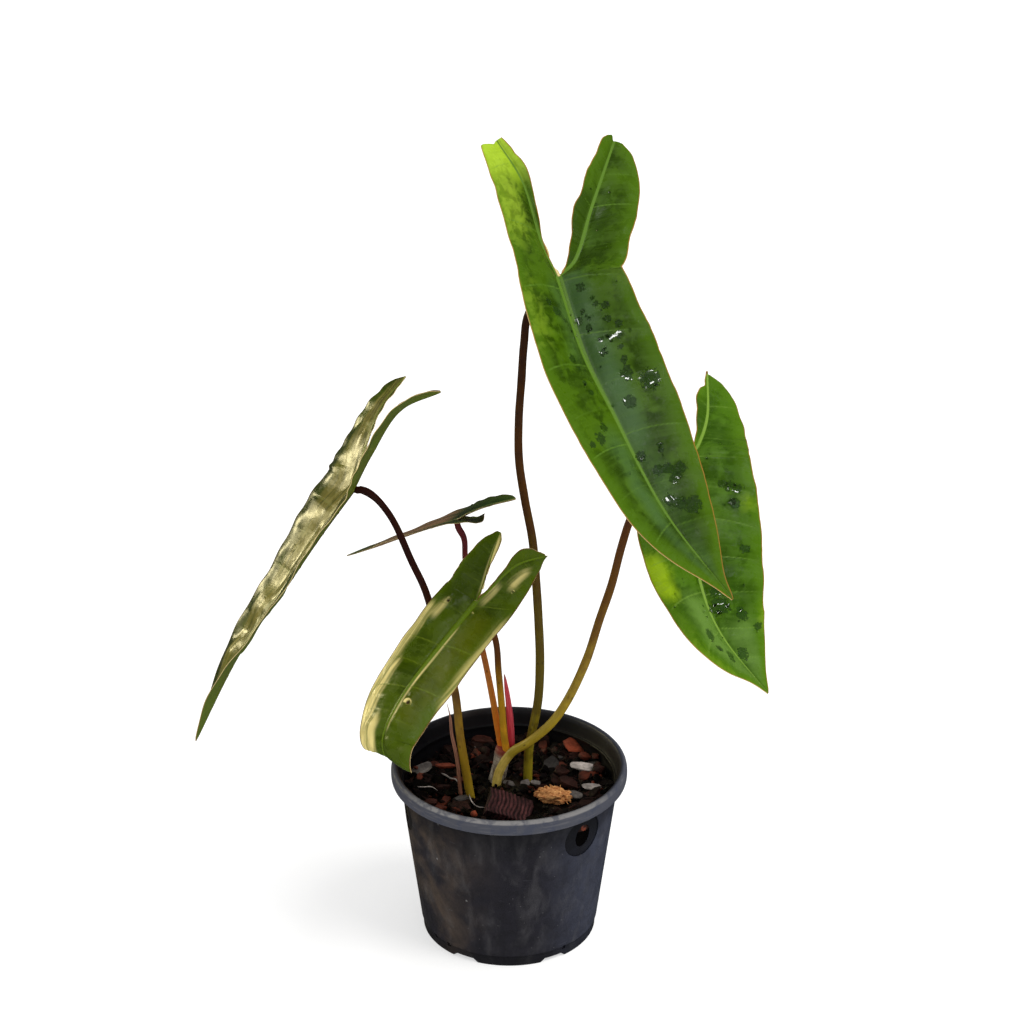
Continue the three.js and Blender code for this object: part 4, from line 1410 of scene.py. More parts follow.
@dataclass
class Pot:
    """A round nursery pot with a rolled rim, hanger holes and a foot ring broken by gaps."""

    height: float = 118
    rim_radius: float = 76
    lip_height: float = 9.6
    wall_top: float = 70.6
    wall_foot: float = 57.7
    wall: float = 1.6
    foot_radius: float = 56.6
    foot_height: float = 8
    foot_width: float = 8
    base_clearance: float = 4
    base_top: float = 6.4
    pad_radius: float = 14
    foot_gaps: int = 6
    gap_top: float = 2.8
    gap_top_width: float = 12
    gap_bottom_width: float = 19
    drain_inner: float = 44
    drain_outer: float = 53
    drain_width: float = 9
    hangers: int = 3
    hanger_angle: float = -47
    hanger_height: float = 93
    hole_width: float = 12
    hole_height: float = 16.4
    recess_radius: float = 14.6
    recess_depth: float = 0.7
    nicks: Numbers = (-56, -43, 38, 121, 170)
    nick_width: float = 2.8
    nick_depth: float = 0.6
    nick_span: tuple[float, float] = (5.2, 8.6)
    steps: int = 160
    finish: PotFinish = field(default_factory=PotFinish)

    def wall_radius(self, height: float) -> float:
        """Return the wall's outer radius at a height."""
        top = self.height - self.lip_height
        climb = (self.wall_top - self.wall_foot) * (height - self.foot_height)
        return self.wall_foot + climb / (top - self.foot_height)

    def _profile(self) -> list[tuple[float, float]]:
        """Draw the section of the pot, with its rolled rim and rounded edges.

        Returns:
            Pairs of radius and height, from under the base round to inside it.
        """
        foot, wide = self.foot_radius, self.foot_width
        lip = self.height - self.lip_height
        rim = self.rim_radius
        ledge = lip - 1
        under = [
            (0, 0), (self.pad_radius - 0.4, 0), (self.pad_radius, 0.5), (self.pad_radius, self.base_clearance),
            (foot - wide, self.base_clearance), (foot - wide, 0.4), (foot - wide + 0.4, 0),
            (foot - 0.7, 0), (foot - 0.15, 0.25), (foot, 0.9),
            (foot + 0.2, self.foot_height - 1.6), (foot + 0.5, self.foot_height - 0.9),
            (self.wall_foot - 0.15, self.foot_height - 0.35), (self.wall_foot + 0.1, self.foot_height + 0.5),
        ]
        side = [(self.wall_radius(z), z) for z in np.linspace(self.foot_height + 3, lip - 1.4, 40)]
        rolled = [
            (self.wall_top + 0.1, lip - 0.5), (self.wall_top + 0.6, lip - 0.1), (self.wall_top + 1.6, lip),
            (rim - 1.5, lip - 0.05), (rim - 0.8, lip + 0.1), (rim - 0.35, lip + 0.6),
            (rim - 0.15, lip + 1.4), (rim - 0.02, lip + 3), (rim, lip + 4.6), (rim - 0.08, lip + 6.2),
            (rim - 0.35, self.height - 2), (rim - 0.8, self.height - 1), (rim - 1.5, self.height - 0.3),
            (rim - 2.4, self.height), (rim - 3.3, self.height - 0.15), (rim - 4, self.height - 0.6),
            (rim - 4.5, self.height - 1.4), (rim - 4.8, self.height - 2.6),
        ]
        inner_top = self.wall_top - self.wall + 0.4
        inside = [
            (inner_top + 0.3, ledge + 3), (inner_top, ledge + 0.8), (inner_top - 0.3, ledge + 0.3),
            (self.wall_radius(ledge) - self.wall - 0.6, ledge), (self.wall_radius(ledge) - self.wall - 1, ledge - 0.5),
            (self.wall_radius(ledge - 3) - self.wall, ledge - 3),
        ]
        down = [(self.wall_radius(z) - self.wall, z) for z in np.linspace(ledge - 5, self.base_top + 2, 20)]
        floor = [(self.wall_radius(self.base_top) - self.wall - 0.6, self.base_top + 0.4),
            (self.wall_radius(self.base_top) - self.wall - 2, self.base_top), (20, self.base_top), (0, self.base_top)]
        return under + side + rolled + inside + down + floor

    def _block(self, name: str, corners: list[Point], degrees: float) -> Piece:
        """Make a cutter from a cube.

        Args:
            name: Its name.
            corners: The eight corners in Blender's order of a cube's vertices, in millimetres.
            degrees: How far it is turned about the pot's axis.

        Returns:
            The cutter.
        """
        bpy.ops.mesh.primitive_cube_add(size=1)
        obj = added(name)
        write_points(obj, np.array(corners, float))
        obj.data.transform(Matrix.Rotation(math.radians(degrees), 4, "Z"))
        return obj

    def _foot_cutters(self) -> list[Piece]:
        """Make the cutters of the foot's gaps, of the drain slots and of its nicks.

        Returns:
            One object for each kind, whose parts stand clear of each other.
        """
        gaps, slots, notches = [], [], []
        low, high = self.gap_bottom_width / 2 + 1, self.gap_top_width / 2
        inner, outer = self.foot_radius - self.foot_width - 1, self.foot_radius + 4
        for k in range(self.foot_gaps):
            degrees = 360 * (k + 0.5) / self.foot_gaps
            gap = [(x * s, -r, z) for s in (-1, 1) for r in (outer, inner)
                   for x, z in ((low, -1), (high, self.gap_top))]
            gaps.append(self._block(f"gap_{k}", gap, degrees))
            half = self.drain_width / 2
            slot = [(x, -r, z) for x in (-half, half) for r in (self.drain_outer, self.drain_inner)
                    for z in (self.gap_top - 1.5, self.base_top + 1)]
            slots.append(self._block(f"slot_{k}", slot, degrees))
        for degrees in self.nicks:
            half = self.nick_width / 2
            notch = [(x, -r, z) for x in (-half, half)
                     for r in (self.foot_radius + 3, self.foot_radius - self.nick_depth) for z in self.nick_span]
            notches.append(self._block("notch", notch, degrees))
        return [join("gaps", gaps), join("slots", slots), join("notches", notches)]

    def _oval(self, name: str, width: float, height: float, inner: float, outer: float, degrees: float) -> Piece:
        """Make an oval rod that points outwards through the wall at the hangers' height."""
        bpy.ops.mesh.primitive_cylinder_add(vertices=64, radius=MM / 2, depth=MM)
        obj = added(name)
        turn = Matrix.Rotation(math.radians(90), 4, "Y")
        size = Matrix.Diagonal((outer - inner, width, height, 1))
        shift = Matrix.Translation(Vector(((inner + outer) / 2, 0, self.hanger_height)) * MM)
        obj.data.transform(Matrix.Rotation(math.radians(degrees), 4, "Z") @ shift @ size @ turn)
        return obj

    def build(self) -> Piece:
        """Model the pot.

        Returns:
            The pot, dressed and declared.
        """
        pot = spun("pot_body", self._profile(), self.steps)
        for cutter in self._foot_cutters():
            cut(pot, cutter)
        wall = self.wall_radius(self.hanger_height)
        for k in range(self.hangers):
            degrees = self.hanger_angle + 360 * k / self.hangers
            recess = self._oval("recess", 2 * self.recess_radius, 2 * self.recess_radius, wall - 5, wall + 7, degrees)
            low, high = self.hanger_height - 20, self.hanger_height + 18
            core = spun("core", [(0, low), (self.wall_radius(low) - self.recess_depth, low),
                                 (self.wall_radius(high) - self.recess_depth, high), (0, high)], self.steps)
            cut(recess, core)
            cut(pot, recess)
            cut(pot, self._oval("hole", self.hole_width, self.hole_height, wall - 6, wall + 7, degrees))
        weld(pot, 2e-6)
        return finish_piece(pot, self.finish.material(), ("pot",), angle=35)


# The filling


@dataclass(frozen=True)
class MixFinish:
    """The potting mix: each chip has its own tone from dark bark over red-brown to pale flake."""

    name: str
    dark: Colour
    brown: Colour
    red: Colour
    pale: Colour

    def material(self) -> Material:
        """Build the material, which reads each chip's tones."""
        s = Surface(self.name)
        place, _ = s.coordinates()
        kind, light, shift = s.attribute("tone")
        moved = s.add("ShaderNodeVectorMath", {0: place, 1: s.add("ShaderNodeCombineXYZ", {
            0: shift, 1: s.times(shift, 1.7), 2: 0.0}).outputs[0]}, operation="ADD").outputs[0]
        grain = s.noise(s.place(moved, (1, 1, 2.4)), 420.0, 4.0, 0.65, 0.6)
        broad = s.noise(moved, 110.0, 2.0)
        colour = s.mix(s.ramp(kind, 0.15, 0.4), self.dark, self.brown)
        colour = s.mix(s.ramp(kind, 0.5, 0.7), colour, self.red)
        colour = s.mix(s.ramp(kind, 0.85, 0.92), colour, self.pale)
        colour = s.over(s.ramp(grain, 0.35, 0.7), 0.75, colour, s.mix(0.5, colour, self.dark))
        lit = s.mix(s.ramp(broad, 0.3, 0.7), (0.55, 0.55, 0.55, 1), (1.3, 1.3, 1.3, 1))
        colour = s.mix(1.0, colour, lit, "MULTIPLY")
        gain = s.add("ShaderNodeCombineXYZ", {0: light, 1: light, 2: light}).outputs[0]
        colour = s.mix(1.0, colour, gain, "MULTIPLY")
        normal = s.bump(grain, 0.5, 0.8)
        return s.dress(Base_Color=colour, Roughness=s.ramp(grain, 0.2, 0.8, 0.42, 0.8), Normal=normal,
                       Specular_IOR_Level=0.25)


@dataclass
class Filling:
    """The potting mix, with its loose chips, flakes and rootlets."""

    top: float = 97
    radius_top: float = 67.8
    radius_bottom: float = 55.3
    bottom: float = 7
    chips: int = 620
    chip_limit: float = 66.5
    crumbs: int = 900
    crumb_limit: float = 67.5
    wall: float = 68
    seed: int = 23
    clear: tuple[tuple[float, float, float], ...] = (
        (12, 13, 4.6), (-8, 9, 4.6), (-7, 18, 8), (-25, -8, 4.4), (-31, -8.6, 3),
        (0, -26, 15), (9, -26, 13), (-9, -26, 13), (28, -12, 12), (22, -10, 9), (34, -14, 9))
    placed: tuple[tuple[str, Point, Point, Point, Point], ...] = (
        ("flake", (-57, 20, 101), (13, 9, 1.4), (8, -14, 30), (0.95, 0.5, 0.1)),
        ("flake", (48.9, 22, 101.5), (17, 7, 1.6), (14, 6, -8), (0.95, 1.15, 0.2)),
        ("flake", (53, -3, 101), (12, 6, 1.4), (10, 12, 14), (0.95, 0.8, 0.5)),
        ("flake", (44, 50, 102), (16, 12, 2.4), (26, 10, 24), (0.8, 1.5, 0.7)),
        ("flake", (27.6, 27, 101), (10, 9, 2), (22, -16, 60), (0.95, 0.1, 0.3)),
        ("shard", (34, 17, 101), (9, 8, 3), (20, 14, 40), (0.5, 1.5, 0.4)),
        ("shard", (48.5, 11, 101), (8, 7, 2.6), (24, -12, 70), (0.62, 1.0, 0.6)),
        ("shard", (49.5, 35, 102), (8, 6, 3), (20, 20, 20), (0.6, 1.1, 0.8)),
        ("flake", (0.6, 3, 100), (9, 4, 1.4), (16, 8, -20), (0.95, 0.45, 0.2)),
        ("flake", (10, 2, 100.5), (7, 5, 1.4), (26, -8, 40), (0.95, 0.42, 0.6)),
        ("flake", (17, 4, 100), (6, 4, 1.2), (10, 12, 0), (0.95, 0.4, 0.4)),
        ("crumb", (-22.4, -35, 99.5), (4.4, 3.6, 5), (0, 12, 0), (0.75, 2.3, 0.1)),
        ("splinter", (-42, 24, 101), (13, 3.4, 2.4), (10, 6, 8), (0.72, 1.5, 0.3)),
        ("shard", (-50, -21, 99.5), (11, 6, 3.4), (16, -16, -20), (0.55, 1.5, 0.3)),
        ("shard", (-44, -28, 99.5), (7, 6, 3.6), (10, 12, 40), (0.6, 1.5, 0.5)),
        ("shard", (-31, -27, 99.5), (12, 9, 4.5), (26, -6, 14), (0.35, 1.5, 0.7)),
        ("shard", (-18, 58, 101), (14, 7, 3.5), (18, 8, 6), (0.55, 1.4, 0.7)),
        ("shard", (38, 2, 101), (13, 8, 4), (16, 22, -14), (0.4, 1.6, 0.7)),
        ("shard", (58, 20, 101), (9, 8, 4), (10, 26, 60), (0.35, 1.5, 0.2)),
        ("flake", (42, -13, 101), (9, 6, 1.6), (14, 6, -20), (0.94, 0.25, 0.2)),
        ("shard", (57, 36, 101.5), (9, 6, 3), (10, 20, 80), (0.6, 0.9, 0.2)),
        ("shard", (19.2, 62.8, 98), (19, 13, 4), (86, 0, -17), (0.3, 1.1, 0.4)),
        ("shard", (16, 64, 98), (13, 12, 4), (82, 10, -14), (0.45, 1.0, 0.6)),
        ("shard", (44.6, -47.8, 98), (18, 13, 4), (86, 0, 43), (0.35, 1.3, 0.4)),
        ("shard", (46.5, -46, 98.6), (9, 8, 3), (80, 24, 47), (0.66, 1.2, 0.6)),
        ("shard", (-63.6, -14.7, 98), (18, 13, 4), (86, 0, 103), (0.3, 1.1, 0.4)),
    )

    def surface(self, x: Array, y: Array) -> Array:
        """Return the height of the mix at places."""
        slow = np.sin(x * 0.11 + 1.3) * np.cos(y * 0.09 - 0.4)
        quick = np.sin(x * 0.31 + y * 0.17) * np.cos(y * 0.29 - x * 0.13)
        dip = np.exp(-((x + 6) ** 2 + (y - 13) ** 2) / 260)
        return self.top + 1.5 * slow + 0.9 * quick - 1.5 * dip

    def _body(self, material: Material) -> Piece:
        """Model the fine mix below the chips."""
        rings, spokes = 60, 120
        share = np.linspace(0, 1, rings + 1)
        angle = np.linspace(0, 2 * math.pi, spokes + 1)
        grid_r, grid_a = np.meshgrid(share * self.radius_top, angle, indexing="ij")
        x, y = grid_r * np.cos(grid_a), grid_r * np.sin(grid_a)
        x[:, -1], y[:, -1] = x[:, 0], y[:, 0]
        relief = Relief(self.seed)
        flat = np.stack([x, y, np.zeros_like(x)], axis=-1)
        bumps = relief.rough(flat.reshape(-1, 3), 5.5, 3).reshape(x.shape)
        z = self.surface(x, y) - 1.2 + 1.5 * bumps
        upper = np.stack([x, y, z], axis=-1)
        z_low = np.linspace(1, 0, 5)[1:]
        skirt = []
        for level in z_low:
            radius = self.radius_bottom + (self.radius_top - self.radius_bottom) * level
            height = self.bottom + (self.top - 3 - self.bottom) * level
            ring = [radius * np.cos(angle), radius * np.sin(angle), np.full_like(angle, height)]
            skirt.append(np.stack(ring, axis=-1))
        foot = np.tile([0, 0, self.bottom], (spokes + 1, 1)).astype(float)
        rows = np.concatenate([upper, np.array(skirt), foot[None]])
        rows[:, -1] = rows[:, 0]
        obj = sheet("soil_body", rows)
        write_tone(obj, (0.12, 0.4, 0.0))
        weld(obj, 1e-6, outwards=True)
        return finish_piece(obj, material, ("soil",))

    def _shapes(self) -> dict[str, Piece]:
        """Model the chips that the mix is made of, each about one millimetre in size.

        Returns:
            The chips by name.
        """
        shapes = {}
        for number, name in enumerate(("shard", "shard_thin", "flake", "splinter")):
            bpy.ops.mesh.primitive_cube_add(size=MM)
            obj = added(name)
            with editing(obj):
                bpy.ops.mesh.subdivide(number_cuts=2, smoothness=0.0)
            points = read_points(obj)
            relief = Relief(40 + number)
            taper = 1 - (0.55 if name == "splinter" else 0.28) * np.abs(points[:, :1] * 2) ** 2
            points[:, 1:] *= taper
            rounded = np.abs(points[:, 0] * 2) ** 3 * np.abs(points[:, 1] * 2) ** 3
            points[:, :2] *= (1 - 0.25 * rounded)[:, None]
            points += 0.11 * np.stack([relief.read(points + k, 0.45) for k in (3.1, 9.7, 17.3)], axis=1)
            points[:, 2] += 0.22 * relief.read(points * [1, 1, 0] + 5, 0.8)
            write_points(obj, points)
            shapes[name] = obj
        bpy.ops.mesh.primitive_ico_sphere_add(subdivisions=2, radius=MM / 2)
        crumb = bpy.context.object
        points = read_points(crumb)
        write_points(crumb, points * (1 + 0.35 * Relief(47).read(points, 0.33))[:, None])
        shapes["crumb"] = crumb
        return shapes

    @staticmethod
    def _matrix(place: Point, size: Point, angles: Point) -> Matrix:
        """Place a chip: millimetres for its place and size, degrees for its angles."""
        turn = (Matrix.Rotation(math.radians(angles[2]), 4, "Z") @ Matrix.Rotation(math.radians(angles[0]), 4, "X")
                @ Matrix.Rotation(math.radians(angles[1]), 4, "Y"))
        return Matrix.Translation(Vector(place) * MM) @ turn @ Matrix.Diagonal((*size, 1))

    @staticmethod
    def _anywhere(draw: np.random.Generator, limit: float) -> tuple[float, float]:
        """Draw a place within a radius, all of them equally likely."""
        radius = limit * math.sqrt(draw.uniform())
        angle = draw.uniform(0, 2 * math.pi)
        return radius * math.cos(angle), radius * math.sin(angle)

    def _free(self, x: float, y: float, size: float) -> bool:
        """Tell whether a chip at a place keeps clear of the stems and the big pieces."""
        return all(math.hypot(x - cx, y - cy) > radius + size * 0.35 for cx, cy, radius in self.clear)

    def _chips(self, material: Material) -> Piece:
        """Scatter the chips over the mix, the placed ones first."""
        shapes = self._shapes()
        names = list(shapes)
        draw = np.random.default_rng(self.seed)
        places = [(names.index(name), self._matrix(place, size, angles), tone)
                  for name, place, size, angles, tone in self.placed]
        kinds = {"shard": 0.42, "shard_thin": 0.3, "flake": 0.08, "splinter": 0.2}
        while len(places) < self.chips:
            x, y = self._anywhere(draw, self.chip_limit)
            name = draw.choice(list(kinds), p=list(kinds.values()))
            scale = draw.uniform(0.55, 1.25)
            size = {"shard": (9, 6, 3.6), "shard_thin": (10, 6, 2), "flake": (7, 5, 1.1),
                    "splinter": (12, 2.6, 1.9)}[str(name)]
            size = tuple(v * scale * draw.uniform(0.8, 1.2) for v in size)
            if not self._free(x, y, size[0]) or self.wall - math.hypot(x, y) < size[0] * 0.3:
                continue
            lean = 24 if name != "flake" else 16
            angles = (draw.normal(0, lean), draw.normal(0, lean), draw.uniform(0, 360))
            z = float(self.surface(x, y)) + draw.uniform(-0.6, 1.4)
            kind = draw.choice([0.1, 0.3, 0.45, 0.62, 0.76, 0.95], p=[0.4, 0.27, 0.2, 0.09, 0.02, 0.02])
            light = draw.uniform(0.3, 1.6) if kind < 0.9 else draw.uniform(0.1, 0.35)
            places.append((names.index(str(name)), self._matrix((x, y, z), size, angles),
                           (float(kind), light, draw.uniform(0, 1))))
        while len(places) < self.chips + self.crumbs:
            x, y = self._anywhere(draw, self.crumb_limit)
            scale = draw.uniform(1.0, 3.2)
            if not self._free(x, y, 1.0):
                continue
            size = tuple(scale * draw.uniform(0.7, 1.3) for _ in range(3))
            z = float(self.surface(x, y)) + draw.uniform(-0.6, 1.6)
            kind = draw.choice([0.1, 0.3, 0.62, 0.76, 0.95], p=[0.5, 0.37, 0.1, 0.02, 0.01])
            angles = tuple(draw.uniform(0, 360, 3))
            places.append((names.index("crumb"), self._matrix((x, y, z), size, angles),
                           (float(kind), draw.uniform(0.5, 1.4), draw.uniform(0, 1))))
        piece = scatter("soil_chips", list(shapes.values()), places)
        points = read_points(piece)
        reach = (self.radius_bottom + WALL_SLOPE * points[:, 2]) / np.hypot(points[:, 0], points[:, 1])
        points[:, :2] *= np.minimum(reach, 1)[:, None]
        write_points(piece, points)
        return finish_piece(piece, material, ("soil",), angle=50)

    def _rootlet(self, material: Material) -> Piece:
        """Model the pale rootlets that lie on the mix."""
        routes = (
            ((-25.6, -12, 100.5), (-25.2, -16, 101.2), (-23.5, -22, 100.8), (-20, -26, 100), (-15, -26.5, 99.5)),
            ((-44, 14, 101), (-41, 10, 102), (-38, 7, 101.5), (-35, 7, 101), (-33, 4, 100)),
            ((-60, -2, 100.5), (-55, -4, 101.5), (-50, -3, 101), (-46, -6, 100)),
        )
        pieces = []
        for k, route in enumerate(routes):
            path = even_route(route, 0.8)
            taper = np.interp(np.linspace(0, 1, len(path)), [0, 0.2, 0.8, 1], [0.5, 1, 0.8, 0.2])
            pieces.append(tube(f"rootlet_{k}", path, (0.42, 0.6, 0.35)[k] * taper, 8))
        obj = join("rootlets", pieces)
        write_tone(obj, (0.95, 1.35, 0.3))
        return finish_piece(obj, material, ("soil",))

    def build(self) -> None:
        """Model the whole filling."""
        finish = MixFinish("potting_mix", tint(9, 4, 4), tint(42, 21, 16), tint(98, 42, 24), tint(166, 156, 150))
        material = finish.material()
        self._body(material)
        self._chips(material)
        self._rootlet(material)


@dataclass
class BarkBlock:
    """The ribbed block of bark that lies at the front of the mix."""

    length: float = 29
    depth: float = 19
    thickness: float = 9
    ribs: int = 11
    rib_height: float = 0.9
    pitch: float = 24
    roll: float = 18
    turn: float = -4
    centre: Point = (-0.5, -25, 98)
    light: Colour = tint(116, 64, 64)
    dark: Colour = tint(34, 14, 16)

    def material(self) -> Material:
        """Build the purple-brown bark."""
        s = Surface("ribbed_bark")
        place, _ = s.coordinates()
        groove, _, _ = s.attribute("grain")
        fibres = s.noise(s.place(place, (700, 160, 700), (0, 0, 0.07)), 1.0, 4.0, 0.7, 0.7)
        broad = s.mottle(place, 160.0, 0.35, 0.65)
        colour = s.mix(s.ramp(s.linear(fibres, 0.8, s.times(groove, 0.6)), 0.35, 1.0), self.dark, self.light)
        colour = s.over(broad, 0.45, colour, tint(44, 24, 28))
        normal = s.bump(fibres, 0.6, 0.9)
        return s.dress(Base_Color=colour, Roughness=0.62, Normal=normal, Specular_IOR_Level=0.3)

    def build(self) -> Piece:
        """Model the block.

        Returns:
            The block, dressed and declared.
        """
        bpy.ops.mesh.primitive_cube_add(size=MM)
        obj = added("bark_block_ribbed")
        with editing(obj):
            bpy.ops.mesh.subdivide(number_cuts=47)
        unit_points = read_points(obj)
        corner = np.abs(unit_points * 2)
        inset = 1 - 0.05 * (np.maximum(corner[:, 0], corner[:, 1]) ** 12) * corner[:, 2] ** 12
        points = unit_points * inset[:, None] * [self.length, self.depth, self.thickness]
        relief = Relief(71)
        wander = 0.9 * relief.read(points * [0.3, 1, 0.2], 6.0)
        phase = (points[:, 0] + wander + 0.06 * points[:, 1]) / self.length * self.ribs
        groove = 0.5 + 0.5 * np.cos(2 * math.pi * phase)
        groove = groove ** 0.7
        upper = smoothstep(unit_points[:, 2], 0.2, 0.5)
        lateral = smoothstep(np.abs(unit_points[:, 1]), 0.4, 0.5)
        groove = groove * (0.55 + 0.6 * relief.read(points * [1, 0.5, 0.5] + 30, 5.0))
        points[:, 2] += (groove - 0.5) * self.rib_height * upper
        points[:, 1] += np.sign(unit_points[:, 1]) * (groove - 0.6) * 0.7 * lateral
        points[:, 0] += 0.9 * relief.read(points * [0, 1, 1] + 11, 5.0)
        points += 0.28 * np.stack([relief.rough(points + k, 2.6, 3) for k in (0, 20, 40)], axis=1)
        points[:, 2] += 0.5 * relief.rough(points * [1, 1, 0], 9.0, 2)
        lean = (Matrix.Rotation(math.radians(self.turn), 3, "Z") @ Matrix.Rotation(math.radians(self.roll), 3, "Y")
                @ Matrix.Rotation(math.radians(self.pitch), 3, "X"))
        write_points(obj, points @ np.array(lean.transposed()) + np.array(self.centre))
        write_field(obj, "grain", np.stack([groove, upper, lateral], axis=1))
        return finish_piece(obj, self.material(), ("bark_block",))


@dataclass
class HuskChunk:
    """The orange fibrous chunk of husk beside the bark."""

    size: Point = (22, 15, 9)
    turn: float = -18
    centre: Point = (28, -12, 99.5)
    strands: int = 90
    seed: int = 5
    light: Colour = tint(255, 196, 126)
    dark: Colour = tint(156, 78, 38)

    def material(self) -> Material:
        """Build the orange husk fibre."""
        s = Surface("husk_fibre")
        place, _ = s.coordinates()
        grain = s.noise(s.place(place, (300, 900, 900), (0, 0, 0.3)), 1.0, 4.0, 0.7, 1.0)
        broad = s.mottle(place, 230.0, 0.3, 0.7)
        colour = s.mix(s.ramp(grain, 0.3, 0.7), self.dark, self.light)
        colour = s.over(broad, 0.45, colour, tint(150, 84, 44))
        return s.dress(Base_Color=colour, Roughness=0.8, Normal=s.bump(grain, 0.5, 0.9), Specular_IOR_Level=0.2)

    def build(self) -> Piece:
        """Model the chunk: a ragged core with loose strands.

        Returns:
            The chunk, dressed and declared.
        """
        bpy.ops.mesh.primitive_ico_sphere_add(subdivisions=5, radius=MM / 2)
        core = bpy.context.object
        relief = Relief(self.seed)
        points = read_points(core)
        lumps = 1 + 0.3 * relief.rough(points * [1, 1.6, 1.6], 0.3, 4)
        points = points * lumps[:, None] * self.size
        points[:, 2] += 1.1 * np.abs(relief.rough(points * [0.4, 1, 0.4], 2.2, 2))
        write_points(core, points)
        pieces = [core]
        draw = np.random.default_rng(self.seed)
        for k in range(self.strands):
            angle, lift = draw.uniform(0, 2 * math.pi), draw.uniform(-0.1, 0.9)
            start = np.array([math.cos(angle) * math.cos(lift) * 0.42, math.sin(angle) * math.cos(lift) * 0.42,
                              math.sin(lift) * 0.45]) * self.size
            way = unit(np.array([draw.normal(0, 1), draw.normal(0, 0.35), draw.normal(0.15, 0.3)]))
            length = draw.uniform(2.5, 7)
            path = even_route(tuple(tuple(start + way * length * t + [0, 0, 0.8 * math.sin(3 * t)])
                                    for t in (-0.5, -0.2, 0.1, 0.5)), 1.0)
            pieces.append(tube(f"strand_{k}", path, np.full(len(path), draw.uniform(0.22, 0.45)), 5))
        obj = join("husk_chunk_fibrous", pieces)
        points = read_points(obj)
        lean = Matrix.Rotation(math.radians(self.turn), 3, "Z")
        write_points(obj, points @ np.array(lean.transposed()) + np.array(self.centre))
        return finish_piece(obj, self.material(), ("husk_chunk",))


# The crown


@dataclass
class Crown:
    """The short stem base, with the new leaf in its sheath and the dry strip of an old one."""

    rings: tuple[tuple[Point, float], ...] = (
        ((-12, 18, 76), 4.6), ((-10, 18, 86), 5.4), ((-7.6, 18, 97), 5.4), ((-6.2, 18, 103), 5.2),
        ((-5.2, 18, 108), 5.0), ((-4.2, 18.1, 112), 5.5), ((-3.2, 18.2, 115.5), 6.1), ((-2.4, 18.2, 118), 6.0))
    sheath_route: Route = ((1.2, 19, 114), (1.2, 19, 127), (0.6, 19, 139), (-0.6, 19, 152), (-3, 19, 171))
    dry_route: Route = ((-30.4, -8.4, 88), (-31.2, -8.6, 99), (-33.6, -9, 127), (-36.4, -9, 143),
                        (-37.4, -9, 156), (-39.2, -9, 165))

    def _crown_material(self) -> Material:
        """Build the grey-beige bark of the crown, red at its top."""
        s = Surface("crown_bark")
        _, uv = s.coordinates()
        share, along, _ = s.attribute("stalk")
        grain = s.noise(s.place(uv, (500, 130, 1)), 1.0, 4.0, 0.65, 0.6)
        colour = s.mix(s.ramp(grain, 0.3, 0.7), tint(112, 96, 80), tint(214, 200, 182))
        rings = s.ramp(s.math("SINE", s.times(along, 1.9)), 0.8, 1.0)
        colour = s.over(rings, 0.5, colour, tint(70, 52, 42))
        drift = s.stray(share, grain, 0.12)
        colour = s.mix(s.ramp(drift, 0.84, 0.95), colour, tint(150, 62, 44))
        return s.dress(Base_Color=colour, Roughness=0.6, Normal=s.bump(grain, 0.4, 0.8))

    def _sheath_material(self) -> Material:
        """Build the glossy red sheath."""
        s = Surface("red_sheath")
        _, uv = s.coordinates()
        share, _, _ = s.attribute("stalk")
        streaks = s.noise(s.place(uv, (700, 40, 1)), 1.0, 3.0, 0.6)
        colour = s.mix(s.ramp(streaks, 0.3, 0.75), tint(196, 44, 64), tint(236, 98, 110))
        colour = s.mix(s.ramp(share, 0.9, 1.0), colour, tint(150, 60, 50))
        colour = s.mix(s.ramp(share, 0.2, 0.05), colour, tint(176, 40, 48))
        return s.dress(Base_Color=colour, Roughness=0.34, Normal=s.bump(streaks, 0.15, 0.5), Specular_IOR_Level=0.3)

    def _dry_material(self) -> Material:
        """Build the dry copper-brown strip."""
        s = Surface("dry_strip")
        _, uv = s.coordinates()
        streaks = s.noise(s.place(uv, (1400, 60, 1)), 1.0, 3.0, 0.7)
        colour = s.mix(s.ramp(streaks, 0.3, 0.7), tint(92, 52, 36), tint(176, 120, 92))
        return s.dress(Base_Color=colour, Roughness=0.55, Normal=s.bump(streaks, 0.3, 0.8))

    def build(self) -> None:
        """Model the crown and what stands on and beside it."""
        centres = np.array([centre for centre, _ in self.rings])
        radii = np.array([radius for _, radius in self.rings])
        share = np.linspace(0, 1, 40)
        route = catmull_rom(centres, share)
        radius = smooth_through(tuple(np.linspace(0, 1, len(radii))), radii, share)
        radius[-3:] *= (0.98, 0.85, 0.5)
        radius = radius * (1 + 0.05 * Relief(9).read(route, 5.0))
        obj = tube("crown_stem", route, radius, 36)
        points = read_points(obj)
        write_points(obj, points + read_normals(obj) * (0.3 * Relief(12).rough(points, 3.5, 3))[:, None])
        finish_piece(obj, self._crown_material(), ("crown",))

        route = even_route(self.sheath_route, 1.5)
        share = np.linspace(0, 1, len(route))
        radius = np.interp(share, [0, 0.15, 0.5, 0.8, 0.93, 1], [2.2, 2.3, 2.15, 1.5, 0.9, 0.3])
        obj = tube("new_leaf", route, radius, 18, flatten=0.9)
        finish_piece(obj, self._sheath_material(), ("new_leaf_sheath",))

        route = even_route(self.dry_route, 1.5)
        share = np.linspace(0, 1, len(route))
        radius = np.interp(share, [0, 0.2, 0.6, 0.85, 0.9, 1], [1.0, 1.3, 1.2, 0.9, 0.45, 0.15])
        obj = tube("dry_strip", route, radius, 12, flatten=0.45)
        finish_piece(obj, self._dry_material(), ("dry_sheath",))


# The studio


